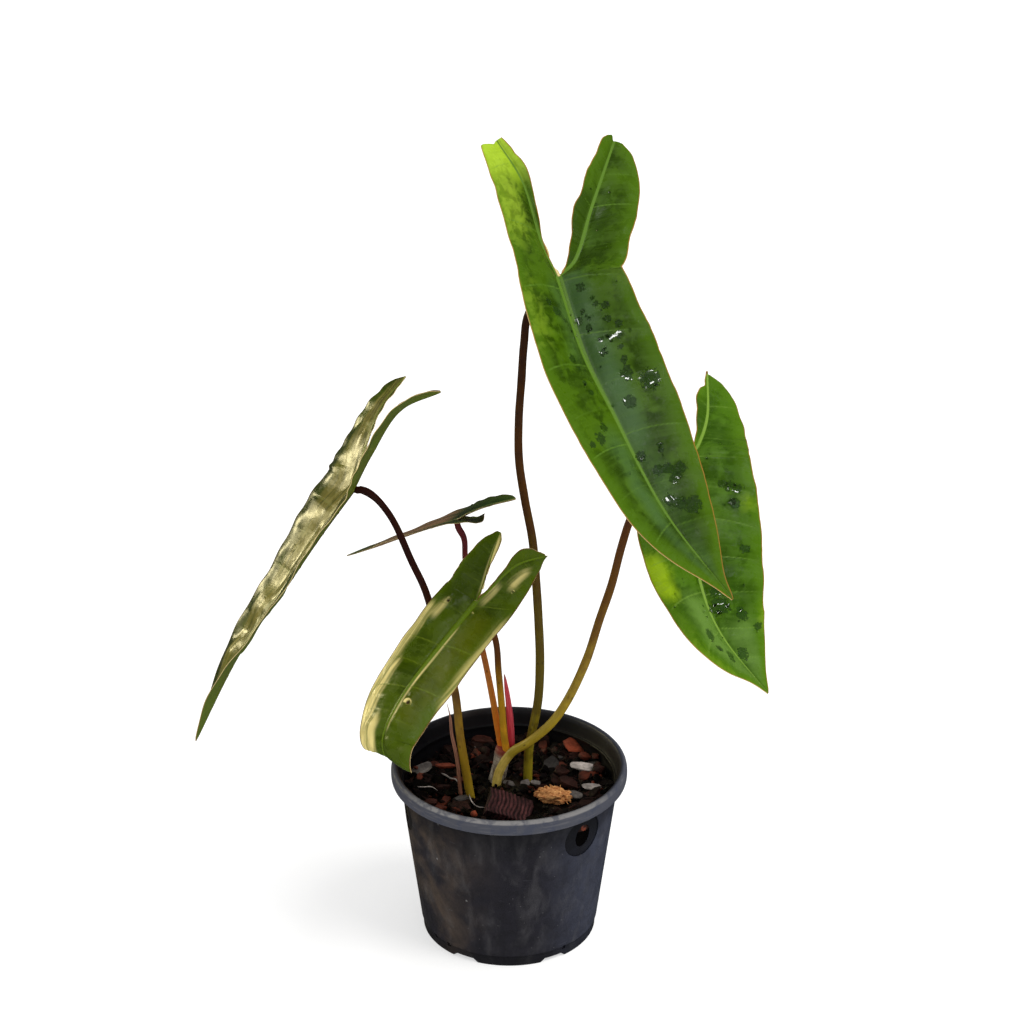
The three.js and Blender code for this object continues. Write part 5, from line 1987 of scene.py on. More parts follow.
@dataclass
class Studio:
    """The camera, the lights and the pale floor."""

    distance: float = 1500
    elevation: float = 23.89
    aim_height: float = 293.4
    offset: float = 1.84
    lens: float = 85.918
    sun_strength: float = 2.5
    sun_angle: float = 34
    sun_colour: Point = (1.0, 0.985, 0.955)
    sun_way: Point = (0.5, -0.2, 0.84)
    surround: float = 0.8
    """How bright the even light is, and by how much less in glossy surfaces."""
    gloss_loss: float = 0.75
    sparks: tuple[Point, ...] = (
        (-0.66, -0.58, 0.48), (-0.5, -0.7, 0.5), (-0.48, -0.5, 0.72), (-0.3, -0.68, 0.67), (-0.3, -0.4, 0.87),
        (-0.08, -0.62, 0.78), (-0.05, -0.36, 0.93), (0.15, -0.5, 0.85), (-0.12, -0.5, 0.86), (-0.2, -0.82, 0.54))
    """The directions of the small panels that make the sparkle."""

    def camera(self) -> None:
        """Set up the camera at the photograph's viewing angle."""
        data = bpy.data.cameras.new("camera")
        data.lens = self.lens
        data.sensor_width = 36
        data.clip_end = 50
        obj = placed_in_scene("camera", data)
        lift = math.radians(self.elevation)
        obj.location = Vector((self.offset, -self.distance * math.cos(lift),
                               self.aim_height + self.distance * math.sin(lift))) * MM
        obj.rotation_euler = (math.radians(90) - lift, 0, 0)
        bpy.context.scene.camera = obj

    def _panel(self, name: str, place: Point, aim: Point, size: tuple[float, float], radiance: float,
               colour: Point, diffuse: bool = True) -> None:
        """Hang a soft light panel.

        Args:
            name: Its name.
            place: Where it hangs, in metres.
            aim: Where it points.
            size: Its width and height in metres.
            radiance: How bright its face is.
            colour: The colour of its light.
            diffuse: Whether it lights matt surfaces too, or only shows in glossy ones.
        """
        data = bpy.data.lights.new(name, "AREA")
        data.shape = "RECTANGLE"
        data.size, data.size_y = size
        data.energy = radiance * math.pi * size[0] * size[1]
        data.color = colour
        obj = placed_in_scene(name, data)
        obj.location = place
        obj.rotation_euler = (Vector(aim) - Vector(place)).to_track_quat("-Z", "Y").to_euler()
        obj.visible_diffuse = diffuse
        obj.visible_camera = False

    def lights(self) -> None:
        """Hang a soft sun at the right, and the panels and lamps that the glossy blades mirror."""
        sun = bpy.data.lights.new("sun", "SUN")
        sun.energy = self.sun_strength
        sun.angle = math.radians(self.sun_angle)
        sun.color = self.sun_colour
        obj = placed_in_scene("sun", sun)
        obj.rotation_euler = Vector(self.sun_way).to_track_quat("Z", "Y").to_euler()
        obj.visible_glossy = False
        panels = [
            ("sky", (60, -30, 400), (-0.42, -0.66, 0.62), 1.5, (0.9, 0.6), 0.14, (0.85, 0.95, 1.0)),
            ("overhead", (60, 30, 470), (-0.16, 0.22, 0.96), 1.4, (0.22, 0.22), 4.0, (1.0, 1.0, 0.96)),
            ("warm_left", (-120, 0, 280), (-0.82, 0.55, 0.12), 1.5, (0.32, 0.32), 18.0, (1.0, 0.88, 0.5)),
            ("warm_low", (-70, -45, 210), (-0.91, 0.18, 0.37), 1.4, (0.34, 0.34), 16.0, (1.0, 0.9, 0.5))]
        for number, way in enumerate(self.sparks):
            panels.append((f"spark_{number}", (60, -30, 400), way, 1.6, (0.08, 0.08), 14.0, (1.0, 1.0, 1.0)))
        for name, target, way, distance, size, radiance, colour in panels:
            aim = np.array(target) * MM
            self._panel(name, tuple(aim + unit(np.array(way)) * distance), tuple(aim), size, radiance, colour, False)

    def world(self) -> None:
        """Surround the plant with even light that glossy surfaces see more dimly."""
        world = bpy.data.worlds.new("studio")
        world.use_nodes = True
        graph = Graph(world.node_tree)
        world.node_tree.nodes.clear()
        rays = graph.add("ShaderNodeLightPath")
        strength = graph.linear(rays.outputs["Is Glossy Ray"], -self.gloss_loss, self.surround)
        back = graph.add("ShaderNodeBackground", {"Color": (1, 1, 1, 1), "Strength": strength})
        graph.add("ShaderNodeOutputWorld", {"Surface": back.outputs[0]})
        bpy.context.scene.world = world

    def floor(self) -> None:
        """Lay the pale floor."""
        bpy.ops.mesh.primitive_plane_add(size=30)
        obj = added("studio_floor")
        s = Surface("floor_paper")
        obj.data.materials.append(s.dress(
            Base_Color=(0.5, 0.5, 0.5, 1), Roughness=0.9, Specular_IOR_Level=0.0,
            Emission_Color=(1, 1, 1, 1), Emission_Strength=0.55))
        obj.visible_glossy = False

    def build(self) -> None:
        """Set up the whole studio."""
        self.camera()
        self.lights()
        self.world()
        self.floor()
        view = bpy.context.scene.view_settings
        view.view_transform = "Standard"
        view.look = "None"


# The plant


GREEN = LeafFinish(
    "glossy_green_blade", body=tint(62, 92, 4), deep=tint(36, 58, 2), margin=tint(66, 98, 6),
    haze=tint(64, 92, 50), yellow=tint(152, 182, 42), gold=tint(170, 170, 90), rib=tint(84, 116, 36),
    lateral=tint(88, 122, 40), under=tint(112, 128, 62), under_rib=tint(120, 66, 40), edge=tint(140, 100, 40),
    rim=tint(206, 188, 130), roughness=0.27, wet=tint(26, 52, 3))

LEAF_GREEN = LeafFinish(
    "bright_green_blade", body=tint(62, 98, 4), deep=tint(42, 72, 3), margin=tint(72, 108, 6),
    haze=tint(92, 124, 52), yellow=tint(136, 166, 8), gold=tint(170, 170, 90), rib=tint(116, 148, 54),
    lateral=tint(100, 132, 48), under=tint(112, 128, 62), under_rib=tint(120, 66, 40), edge=tint(140, 100, 40),
    rim=tint(206, 188, 130), roughness=0.25, wet=tint(30, 62, 4))

DULL_GREEN = LeafFinish(
    "dull_green_blade", body=tint(36, 60, 10), deep=tint(22, 38, 5), margin=tint(60, 78, 16),
    haze=tint(78, 98, 56), yellow=tint(112, 140, 26), gold=tint(140, 106, 74), rib=tint(112, 120, 62),
    lateral=tint(60, 84, 30), under=tint(134, 104, 68), under_rib=tint(120, 66, 50), edge=tint(84, 54, 28),
    rim=tint(176, 158, 110), roughness=0.32, wet=tint(28, 56, 4))

OLIVE = LeafFinish(
    "golden_olive_blade", body=tint(84, 88, 16), deep=tint(34, 46, 2), margin=tint(60, 76, 8),
    haze=tint(84, 92, 20), yellow=tint(120, 134, 34), gold=tint(138, 126, 60), rib=tint(118, 130, 48),
    lateral=tint(122, 126, 58), under=tint(82, 98, 26), under_rib=tint(58, 24, 26), edge=tint(120, 84, 50),
    rim=tint(206, 188, 130), roughness=0.24, wet=tint(30, 40, 4))

OLIVE_FRONT = LeafFinish(
    "olive_green_blade", body=tint(66, 84, 2), deep=tint(46, 62, 1), margin=tint(72, 92, 4),
    haze=tint(86, 90, 8), yellow=tint(120, 140, 30), gold=tint(228, 210, 134), rib=tint(84, 108, 12),
    lateral=tint(96, 112, 24), under=tint(58, 70, 26), under_rib=tint(58, 24, 26), edge=tint(104, 70, 34),
    rim=tint(214, 200, 140), roughness=0.24, wet=tint(30, 40, 4))


class Plant:
    """The five leaves on their stalks."""

    def __init__(self) -> None:
        """List the blades and their stalks."""
        self.blades = [self._blade_a(), self._blade_b(), self._blade_c(), self._blade_d(), self._blade_e()]
        a, b, c, d, e = self.blades
        self.stalks = [
            Stalk("petiole_a", ((12, 13, 98), (13, 13, 121), (18.6, 16, 154), (19.7, 18, 182), (18.7, 22, 208.5),
                                (17, 23.5, 236), (14.7, 24, 263.5), (9.9, 25, 290.5), (6.2, 25, 317.5), (6, 24, 344.6),
                                (7.6, 20, 372.3), (9, 17, 396), (12, 13, 418)),
                  (3.0, 2.35), 12, StalkFinish("stalk_a", tint(150, 136, 34), tint(96, 82, 10), tint(72, 40, 5),
                                               tint(40, 12, 2)), a, (13, 13, 121)),
            Stalk("petiole_b", ((-8, 9, 98), (-5.5, 8.2, 108), (2, 7, 121), (12, 5, 129), (27, 2, 145),
                                (37.2, 2, 161.7), (48.9, 3, 189.8), (56.7, 3, 218), (64, 6, 240.9), (70.2, 9, 267),
                                (76, 10.5, 286), (89.5, 13, 310)),
                  (3.05, 2.35), 16, StalkFinish("stalk_b", tint(255, 222, 116), tint(168, 144, 40), tint(98, 62, 12),
                                               tint(74, 20, 4)), b, (-7.9, 9, 104)),
            Stalk("petiole_c", ((-25, -8, 98), (-31, -7, 139), (-34.5, -5, 173), (-43.5, -3, 207), (-52.2, -2, 241.3),
                                (-60.7, 0, 260.9), (-70.2, 0.8, 285), (-76.1, 0.3, 295.6), (-82, 0, 303.1),
                                (-87.4, 0, 307.1), (-91.5, 0, 308.4)),
                  (2.9, 2.0), 2, StalkFinish("stalk_c", tint(168, 142, 40), tint(150, 118, 28), tint(76, 34, 8),
                                            tint(40, 9, 5), turns=(0.12, 0.34, 0.55)), c, (-31, -7, 139)),
            Stalk("petiole_d", ((-4.4, 19.5, 112), (-7, 21, 128), (-10, 22, 148), (-14.9, 24, 175.3),
                                (-23.3, 25.5, 216.7), (-27.6, 26, 248.1), (-28.3, 25.5, 264)),
                  (2.2, 1.7), 5, StalkFinish("stalk_d", tint(236, 132, 44), tint(196, 118, 36), tint(120, 50, 22),
                                            tint(92, 26, 32)), d),
            Stalk("petiole_e", ((-1, 16.5, 112), (-3.2, 14.6, 128), (-4.6, 13, 149), (-6.6, 7, 178), (-9, -3, 209)),
                  (2.4, 1.8), 10, StalkFinish("stalk_e", tint(240, 170, 44), tint(180, 134, 30), tint(88, 50, 16),
                                            tint(84, 40, 20)), e),
        ]

    @staticmethod
    def _blade_a() -> Blade:
        """Describe the tallest leaf, which faces the viewer on the right."""
        left, right = Side.LEFT, Side.RIGHT
        return Blade(
            "leaf_a", (29, -5, 446), ((43, -31, 409), (60, -53, 380), (89, -93, 335), (127, -124, 294)),
            Lobe(((18.8, 9, 464), (8, 24, 495), (-7.4, 32, 518.4)),
                 (1, 6, 20.5, 27.5, 32.3, 38.2, 41.3, 43.6, 43.3, 42.4, 41.6, 39.3, 35.7, 33.6, 32.4, 31.8, 32.2, 31,
                  29.6, 26.8, 24.8, 23.2, 21, 19, 17),
                 (0, 0.5, 0.8, 1.3, 2.4, 3.2, 4.5, 5.4, 6.6, 5.2, 5, 4.7, 4.3, 3.6),
                 (14, 36, 13), 40,
                 ((-74, -0.3, 0.5), (-30, -0.5, 0.9), (8, -0.25, 0.9), (57, -0.25, 0.8), (85, -0.1, 0.3),
                  (109, 0.0, 0.8), (136, 0.05, 0.3), (162, 0.2, 0.7), (186, 0.3, 0.3)),
                 FINE, FINE_LOBE, hooks=((0.9, 0.25, 1.6), (0.3, 0.2, -1.2))),
            Lobe(((40, 11, 453), (50, 44, 475), (64, 77, 506)),
                 (1, 5, 19.5, 26.4, 32, 36.6, 39, 41.4, 42.2, 42.2, 41.2, 40.2, 38.4, 36.8, 34.6, 31.6, 30.2, 28.9,
                  27.5, 24.5, 22, 19.6, 16, 12.5, 5.4),
                 (0, 1, 2.9, 5, 6.6, 8.4, 10.8, 10.2, 11.8, 10.6, 9.9, 10.3, 9.6, 6.5),
                 (14, 36, 21), 12,
                 ((-84, -0.5, 0.4), (-60, -0.55, 0.9), (-28, -0.3, 0.3), (3, -0.15, 0.9), (37, 0.08, 1.0),
                  (70, 0.05, 0.3), (103, 0.05, 0.8), (137, 0.1, 0.3), (165, 0.2, 0.4), (188, 0.3, 0.3)),
                 FINE, FINE_LOBE, hooks=((-0.55, 0.3, 1.8), (-0.1, 0.2, -1.0))),
            (0.78, 0.59, 0.22), (0.79, 0.56, 0.25), (0.85, 0.47, 0.22), (0.69, 0.72, 0.04), (0.74, 0.66, 0.13),
            (0, 0, 0, 0), (0.6, 4.5, 0.1, 0.6), (0.25, 1.3, 2.6, 0.5, 0.8), 0.8, GREEN, 3,
            zones=(
                *patches(Paint.YELLOW, left, (-110, -66, -1.1, 1.1, 0.95, 22, 0.3),
                         (-90, -25, 0.25, 1.1, 0.5, 20, 0.3), (0, 46, 0.6, 1.1, 0.3, 16, 0.35)),
                *patches(Paint.YELLOW, right, (-20, 25, 0.75, 1.1, 0.15, 12, 0.3)),
                *patches(Paint.HAZE, right, (-5, 118, 0.0, 0.4, 0.9, 14, 0.2), (112, 205, 0.0, 0.5, 0.5, 14, 0.25),
                         (-80, -20, 0.0, 0.4, 0.3, 14, 0.25)),
                *patches(Paint.HAZE, left, (0, 60, 0.0, 0.3, 0.6, 14, 0.25), (100, 205, 0.05, 0.5, 0.6, 14, 0.25)),
                *patches(Paint.DARK, right, (-70, -10, -1.1, -0.15, 0.9), (-85, -25, 0.1, 0.75, 0.45),
                         (140, 190, 0.1, 0.8, 0.4))),
            wet=((1, 80.6, 28.5, 5.2), (1, 70.3, 18.3, 3.3), (1, 73.8, 17.5, 1.9), (1, 87.0, 11.7, 3.3),
                 (-1, 96.8, 14.6, 2.5), (-1, 103.8, 20.5, 3.5), (-1, 107.1, 30.2, 2.2), (1, 118.9, 3.6, 2.7),
                 (1, 63.0, 20.6, 2.2), (1, 53.1, 11.1, 1.9), (1, 44.3, 13.2, 1.9), (1, 46.0, 19.5, 1.8),
                 (1, 46.0, 23.7, 2.1), (1, 38.4, 26.5, 2.3), (1, 32.8, 20.9, 2.0), (1, 23.7, 22.7, 2.2),
                 (1, 20.8, 17.1, 1.9), (1, 29.0, 4.2, 2.0), (1, 23.7, 8.3, 1.3), (1, 34.6, 8.4, 2.1),
                 (1, 8.6, 11.8, 2.5), (-1, 22.2, 13.8, 2.9), (-1, 15.9, 18.9, 1.9), (-1, 28.0, 6.9, 1.8),
                 (-1, 51.5, 13.2, 2.1), (-1, 57.6, 11.0, 1.1), (-1, 73.4, 11.5, 1.9), (-1, 66.9, 13.0, 1.6),
                 (1, 54.3, 22.2, 1.7), (1, 131.0, 9.0, 2.8), (1, 132.4, 14.0, 3.0), (1, 135.9, 20.3, 3.4),
                 (1, 138.1, 17.9, 2.6), (1, 140.2, 14.5, 2.2), (1, 150.5, 6.0, 3.2), (1, 160.3, 15.7, 4.2),
                 (1, 155.7, 10.4, 3.2), (1, 117.5, 16.7, 1.6), (1, 121.0, 15.3, 1.4)),
            drops=((1, 16.9, 16.3, 1.4), (1, 26.6, 9.0, 0.9), (1, 29.4, 10.4, 1.2), (1, 28.0, 13.2, 0.7),
                   (1, 24.6, 6.9, 0.8), (1, 37.0, 7.0, 0.9), (1, 36.5, 9.8, 0.7), (1, 24.1, 0.7, 0.6),
                   (1, 29.0, 1.4, 0.8), (-1, 33.7, 3.5, 0.7), (-1, 37.0, 0.7, 0.6), (1, 46.5, 31.3, 1.0),
                   (1, 44.3, 16.7, 1.3), (1, 48.2, 18.8, 0.9), (1, 51.5, 13.2, 1.0), (1, 53.9, 13.2, 0.9),
                   (1, 56.2, 22.8, 0.7), (1, 44.3, 11.8, 1.0), (1, 10.1, 34.2, 0.6), (1, 3.3, 23.5, 0.6),
                   (1, 60.2, 6.2, 0.7), (1, 72.6, 8.8, 0.7), (-1, 68.0, 14.3, 1.0), (-1, 70.3, 14.9, 0.7),
                   (1, 85.0, 29.5, 0.9), (1, 84.0, 32.2, 0.6), (1, 89.7, 12.9, 0.7), (1, 120.3, 4.1, 0.9),
                   (-1, 92.0, 14.1, 0.7), (1, 84.0, 2.0, 0.9), (-1, 128.1, 12.0, 0.5), (1, -39.6, -7.4, 0.7),
                   (1, -42.2, -7.8, 0.6), (1, -72.9, 7.8, 0.7), (1, -71.2, 5.0, 0.7), (1, 23.2, 24.1, 0.7),
                   (1, 26.1, 18.7, 0.6), (1, 116.8, 16.7, 1.0), (1, 118.9, 15.4, 0.6), (1, 123.8, 15.1, 0.7),
                   (1, 121.0, 14.7, 0.7), (1, 121.0, 3.5, 0.8), (1, 140.9, 19.7, 0.6), (1, 140.9, 17.6, 0.6),
                   (1, 159.0, 8.7, 0.5), (1, 156.4, 4.2, 0.6), (1, 166.7, 15.7, 0.5), (1, 155.1, 12.8, 0.5)))

    @staticmethod
    def _blade_b() -> Blade:
        """Describe the leaf at the far right, half hidden by the tallest one."""
        left, right = Side.LEFT, Side.RIGHT
        return Blade(
            "leaf_b", (109, -8, 333), ((109, -32, 309), (113, -61, 277), (125, -85, 252), (152, -104, 223)),
            Lobe(((102, 6, 339), (90, 24, 345), (81, 37, 345)),
                 (1, 7.5, 25, 30.5, 32.8, 36, 38, 41, 41, 40.6, 39, 36, 33.8, 32, 30.5, 29.2, 27.5, 25.5, 23.2, 20,
                  18.3, 16.6, 13, 7.6, 1), (0, 2, 5, 7, 6, 3, 1), (18, 19, 15), 10,
                 ((-30, -0.3, 0.5), (0, -0.2, 0.8), (40, -0.05, 0.7), (64, 0.0, 0.6), (86, 0.15, 0.9),
                  (112, 0.2, 0.7), (134, 0.3, 0.5)), FINE),
            Lobe(((116, 6, 337), (122, 27, 347), (123, 50, 365)),
                 (1, 7.5, 22.8, 28.8, 32.9, 35.9, 38.6, 40.2, 40.8, 40.2, 39.2, 37.4, 36.4, 34.2, 31.6, 28.8, 26.5,
                  24.4, 22.7, 20.2, 18.3, 16.8, 13.6, 10.4, 2),
                 (0, 1.6, 2.4, 3, 4.1, 5.2, 7.8, 9.1, 9.9, 7.5, 2.6, 2.6, 1.8, 0.6),
                 (18, 19, 3), 10,
                 ((-46, -0.3, 0.5), (-20, -0.25, 0.4), (0, -0.2, 1.0), (19, -0.05, 0.4), (39, 0.05, 1.0),
                  (64, 0.0, 0.9), (88, 0.05, 0.7), (110, 0.45, 0.9), (132, 0.5, 0.6)),
                 FINE, FINE_LOBE, hooks=((-0.2, 0.3, 2.2),)),
            (0.67, 0.72, -0.16), (0.87, 0.48, 0.11), (0.9, 0.39, 0.2), (0.85, 0.51, 0.09), (0.69, 0.71, -0.14),
            (0, 0, 0, 0), (0.6, 5, 0.3, 0.1), (0.25, 1.0, 2.0, 0.5, 0.8), 1.2, LEAF_GREEN, 8, pucker=0.6,
            zones=(
                *patches(Paint.YELLOW, left, (66, 92, 0.6, 1.1, 1.0, 7, 0.25), (100, 160, 0.8, 1.1, 0.3, 14, 0.3)),
                *patches(Paint.YELLOW, right, (26, 38, 0.75, 0.95, 0.6, 6, 0.2), (104, 126, 0.85, 1.1, 0.4, 10, 0.2)),
                *patches(Paint.HAZE, right, (-40, 70, 0.1, 0.6, 0.3, 12, 0.25), (108, 150, 0.05, 0.7, 0.6, 12, 0.25)),
                *patches(Paint.HAZE, left, (84, 150, 0.0, 0.6, 0.7, 12, 0.25)),
                *patches(Paint.DARK, right, (88, 108, 0.4, 0.9, 0.5), (-50, -20, -1.1, -0.1, 0.8))),
            wet=((1, 62.3, 29.9, 2.6), (1, 18.0, 19.2, 2.4), (1, 20.0, 24.0, 2.8), (1, 22.1, 29.5, 2.6),
                 (1, 32.4, 26.6, 3.0), (1, 109.2, 16.9, 3.2), (-1, 112.7, 11.3, 2.9), (-1, 128.1, 7.4, 2.9),
                 (1, 130.3, 4.0, 3.1), (-1, 121.2, 12.0, 1.8), (1, 104.4, 17.2, 1.8), (1, 122.4, 22.2, 2.6),
                 (1, 87.6, 7.3, 2.6), (1, 97.3, 6.3, 4.9)),
            drops=((1, -16.4, 12.5, 1.0), (1, -18.5, 20.2, 0.7), (1, -4.0, 11.4, 0.6), (1, 1.4, 10.3, 0.7),
                   (1, 18.4, 21.9, 0.9), (1, 20.4, 24.0, 0.9), (1, 18.7, 27.2, 0.9), (1, 30.9, 25.9, 2.2),
                   (1, 32.8, 19.8, 1.1), (1, 40.9, 35.5, 0.5), (1, 88.0, 24.8, 0.9), (-1, 78.2, 13.9, 0.5),
                   (-1, 80.5, 14.4, 0.5), (-1, 78.5, 9.5, 0.4), (-1, 88.0, 24.2, 0.6), (-1, 95.1, 27.8, 0.7),
                   (-1, 95.1, 4.6, 0.7), (-1, 98.7, 6.8, 0.7), (-1, 102.6, 6.0, 0.8), (1, 96.2, 4.6, 1.2),
                   (1, 100.8, 5.5, 1.4), (1, 99.0, 10.7, 1.2), (1, 101.9, 12.1, 1.0), (1, 104.8, 17.7, 0.8),
                   (-1, 117.4, 4.7, 0.5), (-1, 122.0, 13.1, 0.6), (1, 125.4, 20.2, 0.5), (1, 135.2, 3.4, 0.6),
                   (-1, 84.7, 3.7, 0.5), (-1, 115.8, 0.5, 0.5)))

    @staticmethod
    def _blade_c() -> Blade:
        """Describe the leaf at the left, seen almost along its faces."""
        left = Side.LEFT
        return Blade(
            "leaf_c", (-95, 0, 309), ((-117, -6, 279), (-141, -11, 243), (-168.5, -16, 203), (-197.5, -21, 145)),
            Lobe(((-89, 15, 328), (-79, 30, 350), (-64, 43, 366)),
                 (1, 7, 17, 24, 29.5, 35.5, 39.5, 39, 37.5, 28, 15, 10, 1), (0, 1, 2, 6.5, 7, 3.5, 1), (14, 22, 28), -9,
                 ((-66, -0.3, 0.4), (-40, -0.3, 0.6), (-12, -0.2, 0.5), (18, -0.1, 0.7), (42, 0.0, 0.4),
                  (68, 0.05, 0.8), (94, 0.1, 0.7), (115, 0.15, 0.6), (139, 0.2, 0.6), (166, 0.25, 0.5))),
            Lobe(((-84, 0, 331), (-66, 0, 360), (-41, 1, 372)),
                 (1, 7, 17, 23, 29, 34, 35, 33, 31, 25, 15, 10, 1), (0, 1, 3, 4, 4, 3, 1),
                 (36, 29, 20, 15, 12, 13.5, 10.5, 10.5, 9.5, 9, 70), 10,
                 ((-60, -0.3, 0.5), (-30, -0.2, 0.6), (0, -0.1, 0.7), (34, 0.05, 0.7), (60, 0.1, 0.6), (90, 0.15, 0.6),
                  (118, 0.2, 0.6), (146, 0.25, 0.5), (168, 0.3, 0.4)),
                 fold_at=(-1, -0.87, -0.78, -0.72, -0.63, -0.52, -0.47, -0.3, -0.2, 0, 1)),
            (0.04, -1, -0.03), (0.02, -1, -0.02), (0.07, -0.98, 0.16), (-0.16, -0.97, 0.16), (0.57, -0.74, -0.35),
            (0, 0, 0, 0), (0.35, 7, 0.2, 0.5), (0.3, 0.9, 1.5, 0.5, 0.5), 0.3, OLIVE, 14, pucker=0.5, slot="leaf_olive",
            dents=2.6, flat_margin=9,
            zones=(
                *patches(Paint.GOLD, left, (-80, 175, -0.2, 0.68, 0.6), (-40, 20, 0.3, 0.75, 0.5)),
                *patches(Paint.DARK, left, (-40, 175, 0.78, 1.2, 1.0, 8, 0.1), (20, 64, 0.62, 1.1, 1.0, 4),
                         (73, 88, 0.62, 1.1, 1.0, 4), (99, 112, 0.64, 1.1, 1.0, 4), (118, 133, 0.62, 1.1, 1.0, 4),
                         (145, 172, 0.6, 1.1, 1.0, 4), (-8, 4, 0.25, 0.55, 0.9, 3), (-30, -18, 0.05, 0.4, 0.8, 4),
                         (-60, -44, 0.2, 0.5, 0.8, 4), (-90, -66, 0.0, 1.1, 0.7, 5))),
            holes=((-1, 57.1, 19.0, 1.7), (-1, 61.0, 10.9, 0.9), (-1, 42.6, 14.7, 1.0)))

    @staticmethod
    def _blade_d() -> Blade:
        """Describe the small leaf behind, seen on edge."""
        left, right = Side.LEFT, Side.RIGHT
        return Blade(
            "leaf_d", (-33, 25, 277), ((-50, 38, 266), (-68, 50, 254), (-86, 59, 243), (-105, 67, 233)),
            Lobe(((-24, 21, 284), (-12, 16, 291), (4, 12, 297)),
                 (1, 4, 10.5, 16, 19.5, 21, 21, 19.5, 15, 13, 9.5, 5.5, 1), (0, 1, 3, 4, 3.5, 2, 1), (2, 7, 15), 5,
                 ((-24, -0.3, 0.5), (2, -0.1, 0.6), (22, 0.1, 0.6), (44, 0.1, 0.6), (66, 0.2, 0.5))),
            Lobe(((-28, 28, 276), (-21, 32, 275), (-16, 35, 276)),
                 (1, 4, 10.5, 16, 19.5, 21, 21, 19.5, 15, 13, 9.5, 5.5, 1), (0, 1, 3, 4, 3.5, 2, 1), (2, 7, 7), 5,
                 ((-12, -0.3, 0.5), (2, -0.1, 0.6), (22, 0.1, 0.6), (44, 0.1, 0.6), (66, 0.2, 0.5))),
            (-0.32, -0.94, 0.16), (-0.34, -0.92, 0.2), (-0.29, -0.95, 0.13), (-0.3, -0.95, 0.09), (-0.33, -0.93, 0.18),
            (0, 0, 0, 0), (0.25, 4, 0.0, 0.4), (0.2, 0.6, 1.1, 0.4, 0.4), 0.35, DULL_GREEN, 21, pucker=0.25,
            outer_columns=22, inner_columns=5,
            zones=(
                *patches(Paint.GOLD, left, (8, 76, 0.0, 1.2, 0.9, 14)),
                *patches(Paint.GOLD, right, (8, 76, 0.0, 1.2, 0.9, 14))))

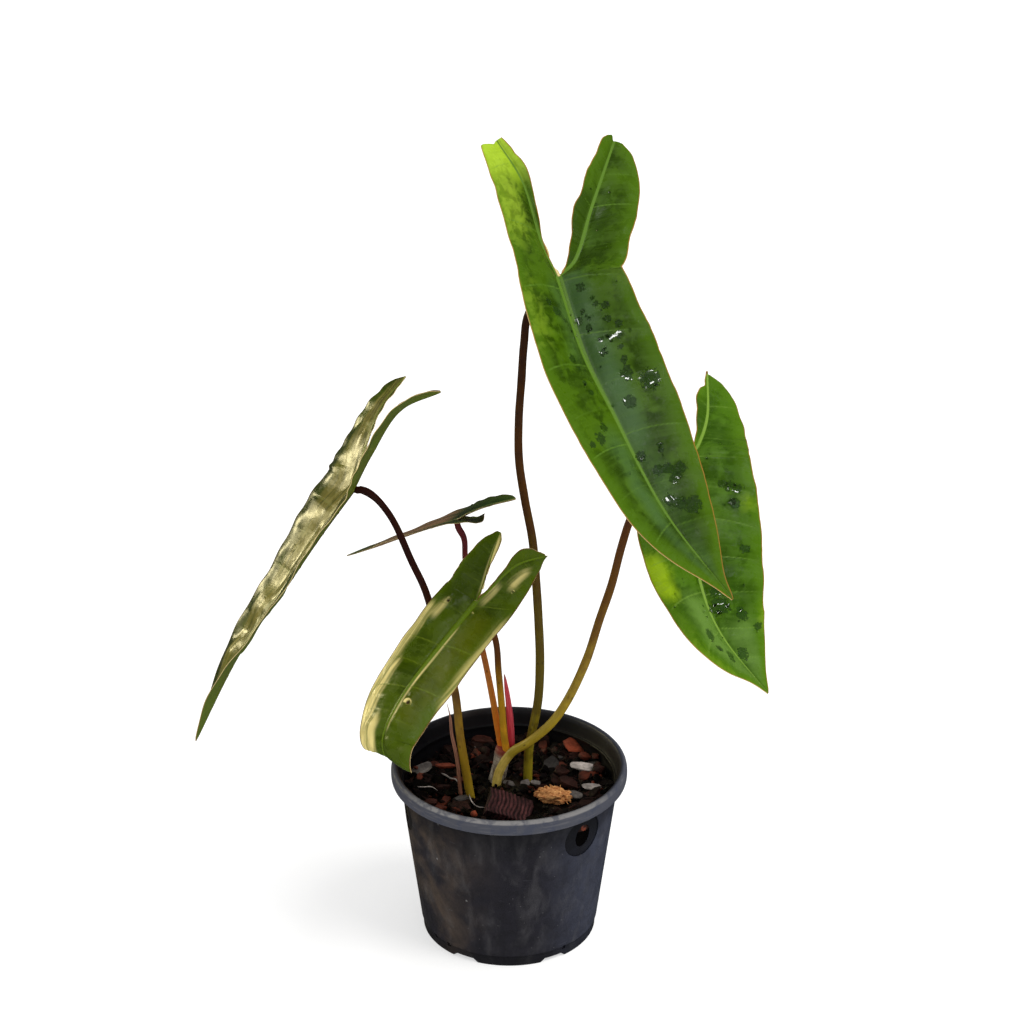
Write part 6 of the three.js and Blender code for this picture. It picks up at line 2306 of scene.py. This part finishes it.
    @staticmethod
    def _blade_e() -> Blade:
        """Describe the front leaf, which bends down over the rim."""
        left, right = Side.LEFT, Side.RIGHT
        return Blade(
            "leaf_e", (-20, -22, 243), ((-41, -44, 225), (-63, -60, 201), (-76, -71, 178), (-74.5, -72.5, 163),
                                        (-67, -36, 155)),
            Lobe(((-16.4, -21, 252), (-11.2, -19, 270), (-5.4, -16, 287)),
                 (2, 5, 9, 11, 14, 19.2, 23.6, 25.3, 25.6, 24.9, 24.5, 23.4, 21.9, 21.3, 21.1, 20.4, 19.2, 16.6, 14,
                  11.6, 9.8, 7.8, 5.4, 4, 2.4), (0, 0.4, 0.4, 0.4, 0.4, 0.5, 0.9, 2.2, 3.2, 3.4, 3.8, 3.6, 2.4, 1.2),
                 (15, -9, 0), 15,
                 ((-32, -0.4, 0.4), (-12, -0.2, 0.4), (12, -0.1, 0.5), (37, 0.08, 0.9), (53, 0.1, 0.8), (69, 0.25, 0.9),
                  (86, 0.2, 0.5), (120, 0.1, 0.5)), FINE, FINE_LOBE),
            Lobe(((-13, -24, 251), (4, -30, 271), (22, -35, 280)),
                 (1, 6, 15, 20, 22.5, 23.2, 24.2, 24.8, 24.3, 23, 22.6, 23, 23, 22.8, 22.2, 20.8, 19.1, 17.2, 15.3,
                  12.5, 9.6, 7.6, 4.5, 2.5, 1), (0, 1, 1.1, 1, 1.2, 2, 3.1, 6.2, 8.1, 7.3, 6.2, 4, 3, 1), (15, -9, 8),
                 7, ((-44, -0.3, 0.4), (-22, -0.3, 0.4), (4, -0.9, 0.9), (36, -0.5, 1.0), (68, -0.4, 1.0),
                  (90, -0.2, 0.6), (120, 0.1, 0.5)), FINE, FINE_LOBE, hooks=((0.5, 0.3, 1.6),)),
            (0.84, -0.29, -0.46), (0.76, -0.64, -0.08), (0.87, -0.26, -0.41), (0.79, -0.61, -0.03),
            (0.88, -0.32, -0.35), (-0.3, -0.3, -0.2, -0.1), (0.5, 5, 0.5, 0.2), (0.3, 0.7, 1.5, 0.3, 0.5), 0.6,
            OLIVE_FRONT, 33, pucker=0.4,
            slot="leaf_olive", outer_columns=28, inner_columns=6,
            zones=(
                *patches(Paint.GOLD, left, (16, 62, 0.76, 1.2, 1.0, 7, 0.1), (58, 120, 0.6, 1.2, 1.0, 7, 0.1),
                         (92, 112, 0.3, 1.1, 0.8, 6, 0.15), (-45, -4, -1.2, 0.05, 0.9, 6, 0.1),
                         (8, 24, 0.55, 0.75, 0.6, 5, 0.1)),
                *patches(Paint.GOLD, right, (-6, 70, 0.85, 1.2, 0.7, 8, 0.2), (20, 98, 0.04, 0.1, 0.8, 6, 0.03),
                         (-46, -22, 0.3, 0.6, 0.6, 6, 0.2), (-20, 0, 0.0, 0.2, 0.6, 6, 0.1)),
                *patches(Paint.HAZE, right, (0, 90, 0.1, 0.8, 0.5, 10, 0.2)),
                *patches(Paint.DARK, left, (-50, 15, 0.2, 0.9, 0.6)),
                *patches(Paint.DARK, right, (76, 120, 0.25, 1.1, 0.3))),
            holes=((1, 76.6, 5.8, 3.3), (-1, 9.3, 14.4, 2.6), (1, -22.0, 11.0, 1.7), (1, 7.5, 2.6, 1.1)),
            bulges=((-1, 100, 9.5, 5, 6.5, 1.3), (1, 106, 5.5, 5.5, 5.5, 0.8), (1, 70, 6, 4, 3.5, 0.7),
                    (1, 90, 4, 5, 3, 0.6), (-1, 24, 18, 7, 4, 0.8), (-1, 9, 14, 6, 3.6, 0.6)),
            wrinkles=((-1, 28, 120, 10, 0.26),))

    def build(self) -> None:
        """Model the blades with their drops, and then the stalks."""
        water = Surface("water").dress(
            Base_Color=(0.86, 0.93, 0.84, 1), Roughness=0.02, IOR=1.33, Transmission_Weight=1.0)
        for blade in self.blades:
            blade.build()
            blade.build_drops(water)
        for stalk in self.stalks:
            stalk.build()


def main() -> None:
    """Build everything in order, and log each piece's vertex count."""
    logging.basicConfig(level=logging.INFO, format="%(name)s %(message)s")
    Studio().build()
    Pot().build()
    Filling().build()
    BarkBlock().build()
    HuskChunk().build()
    Crown().build()
    Plant().build()


if __name__ == "__main__":
    main()
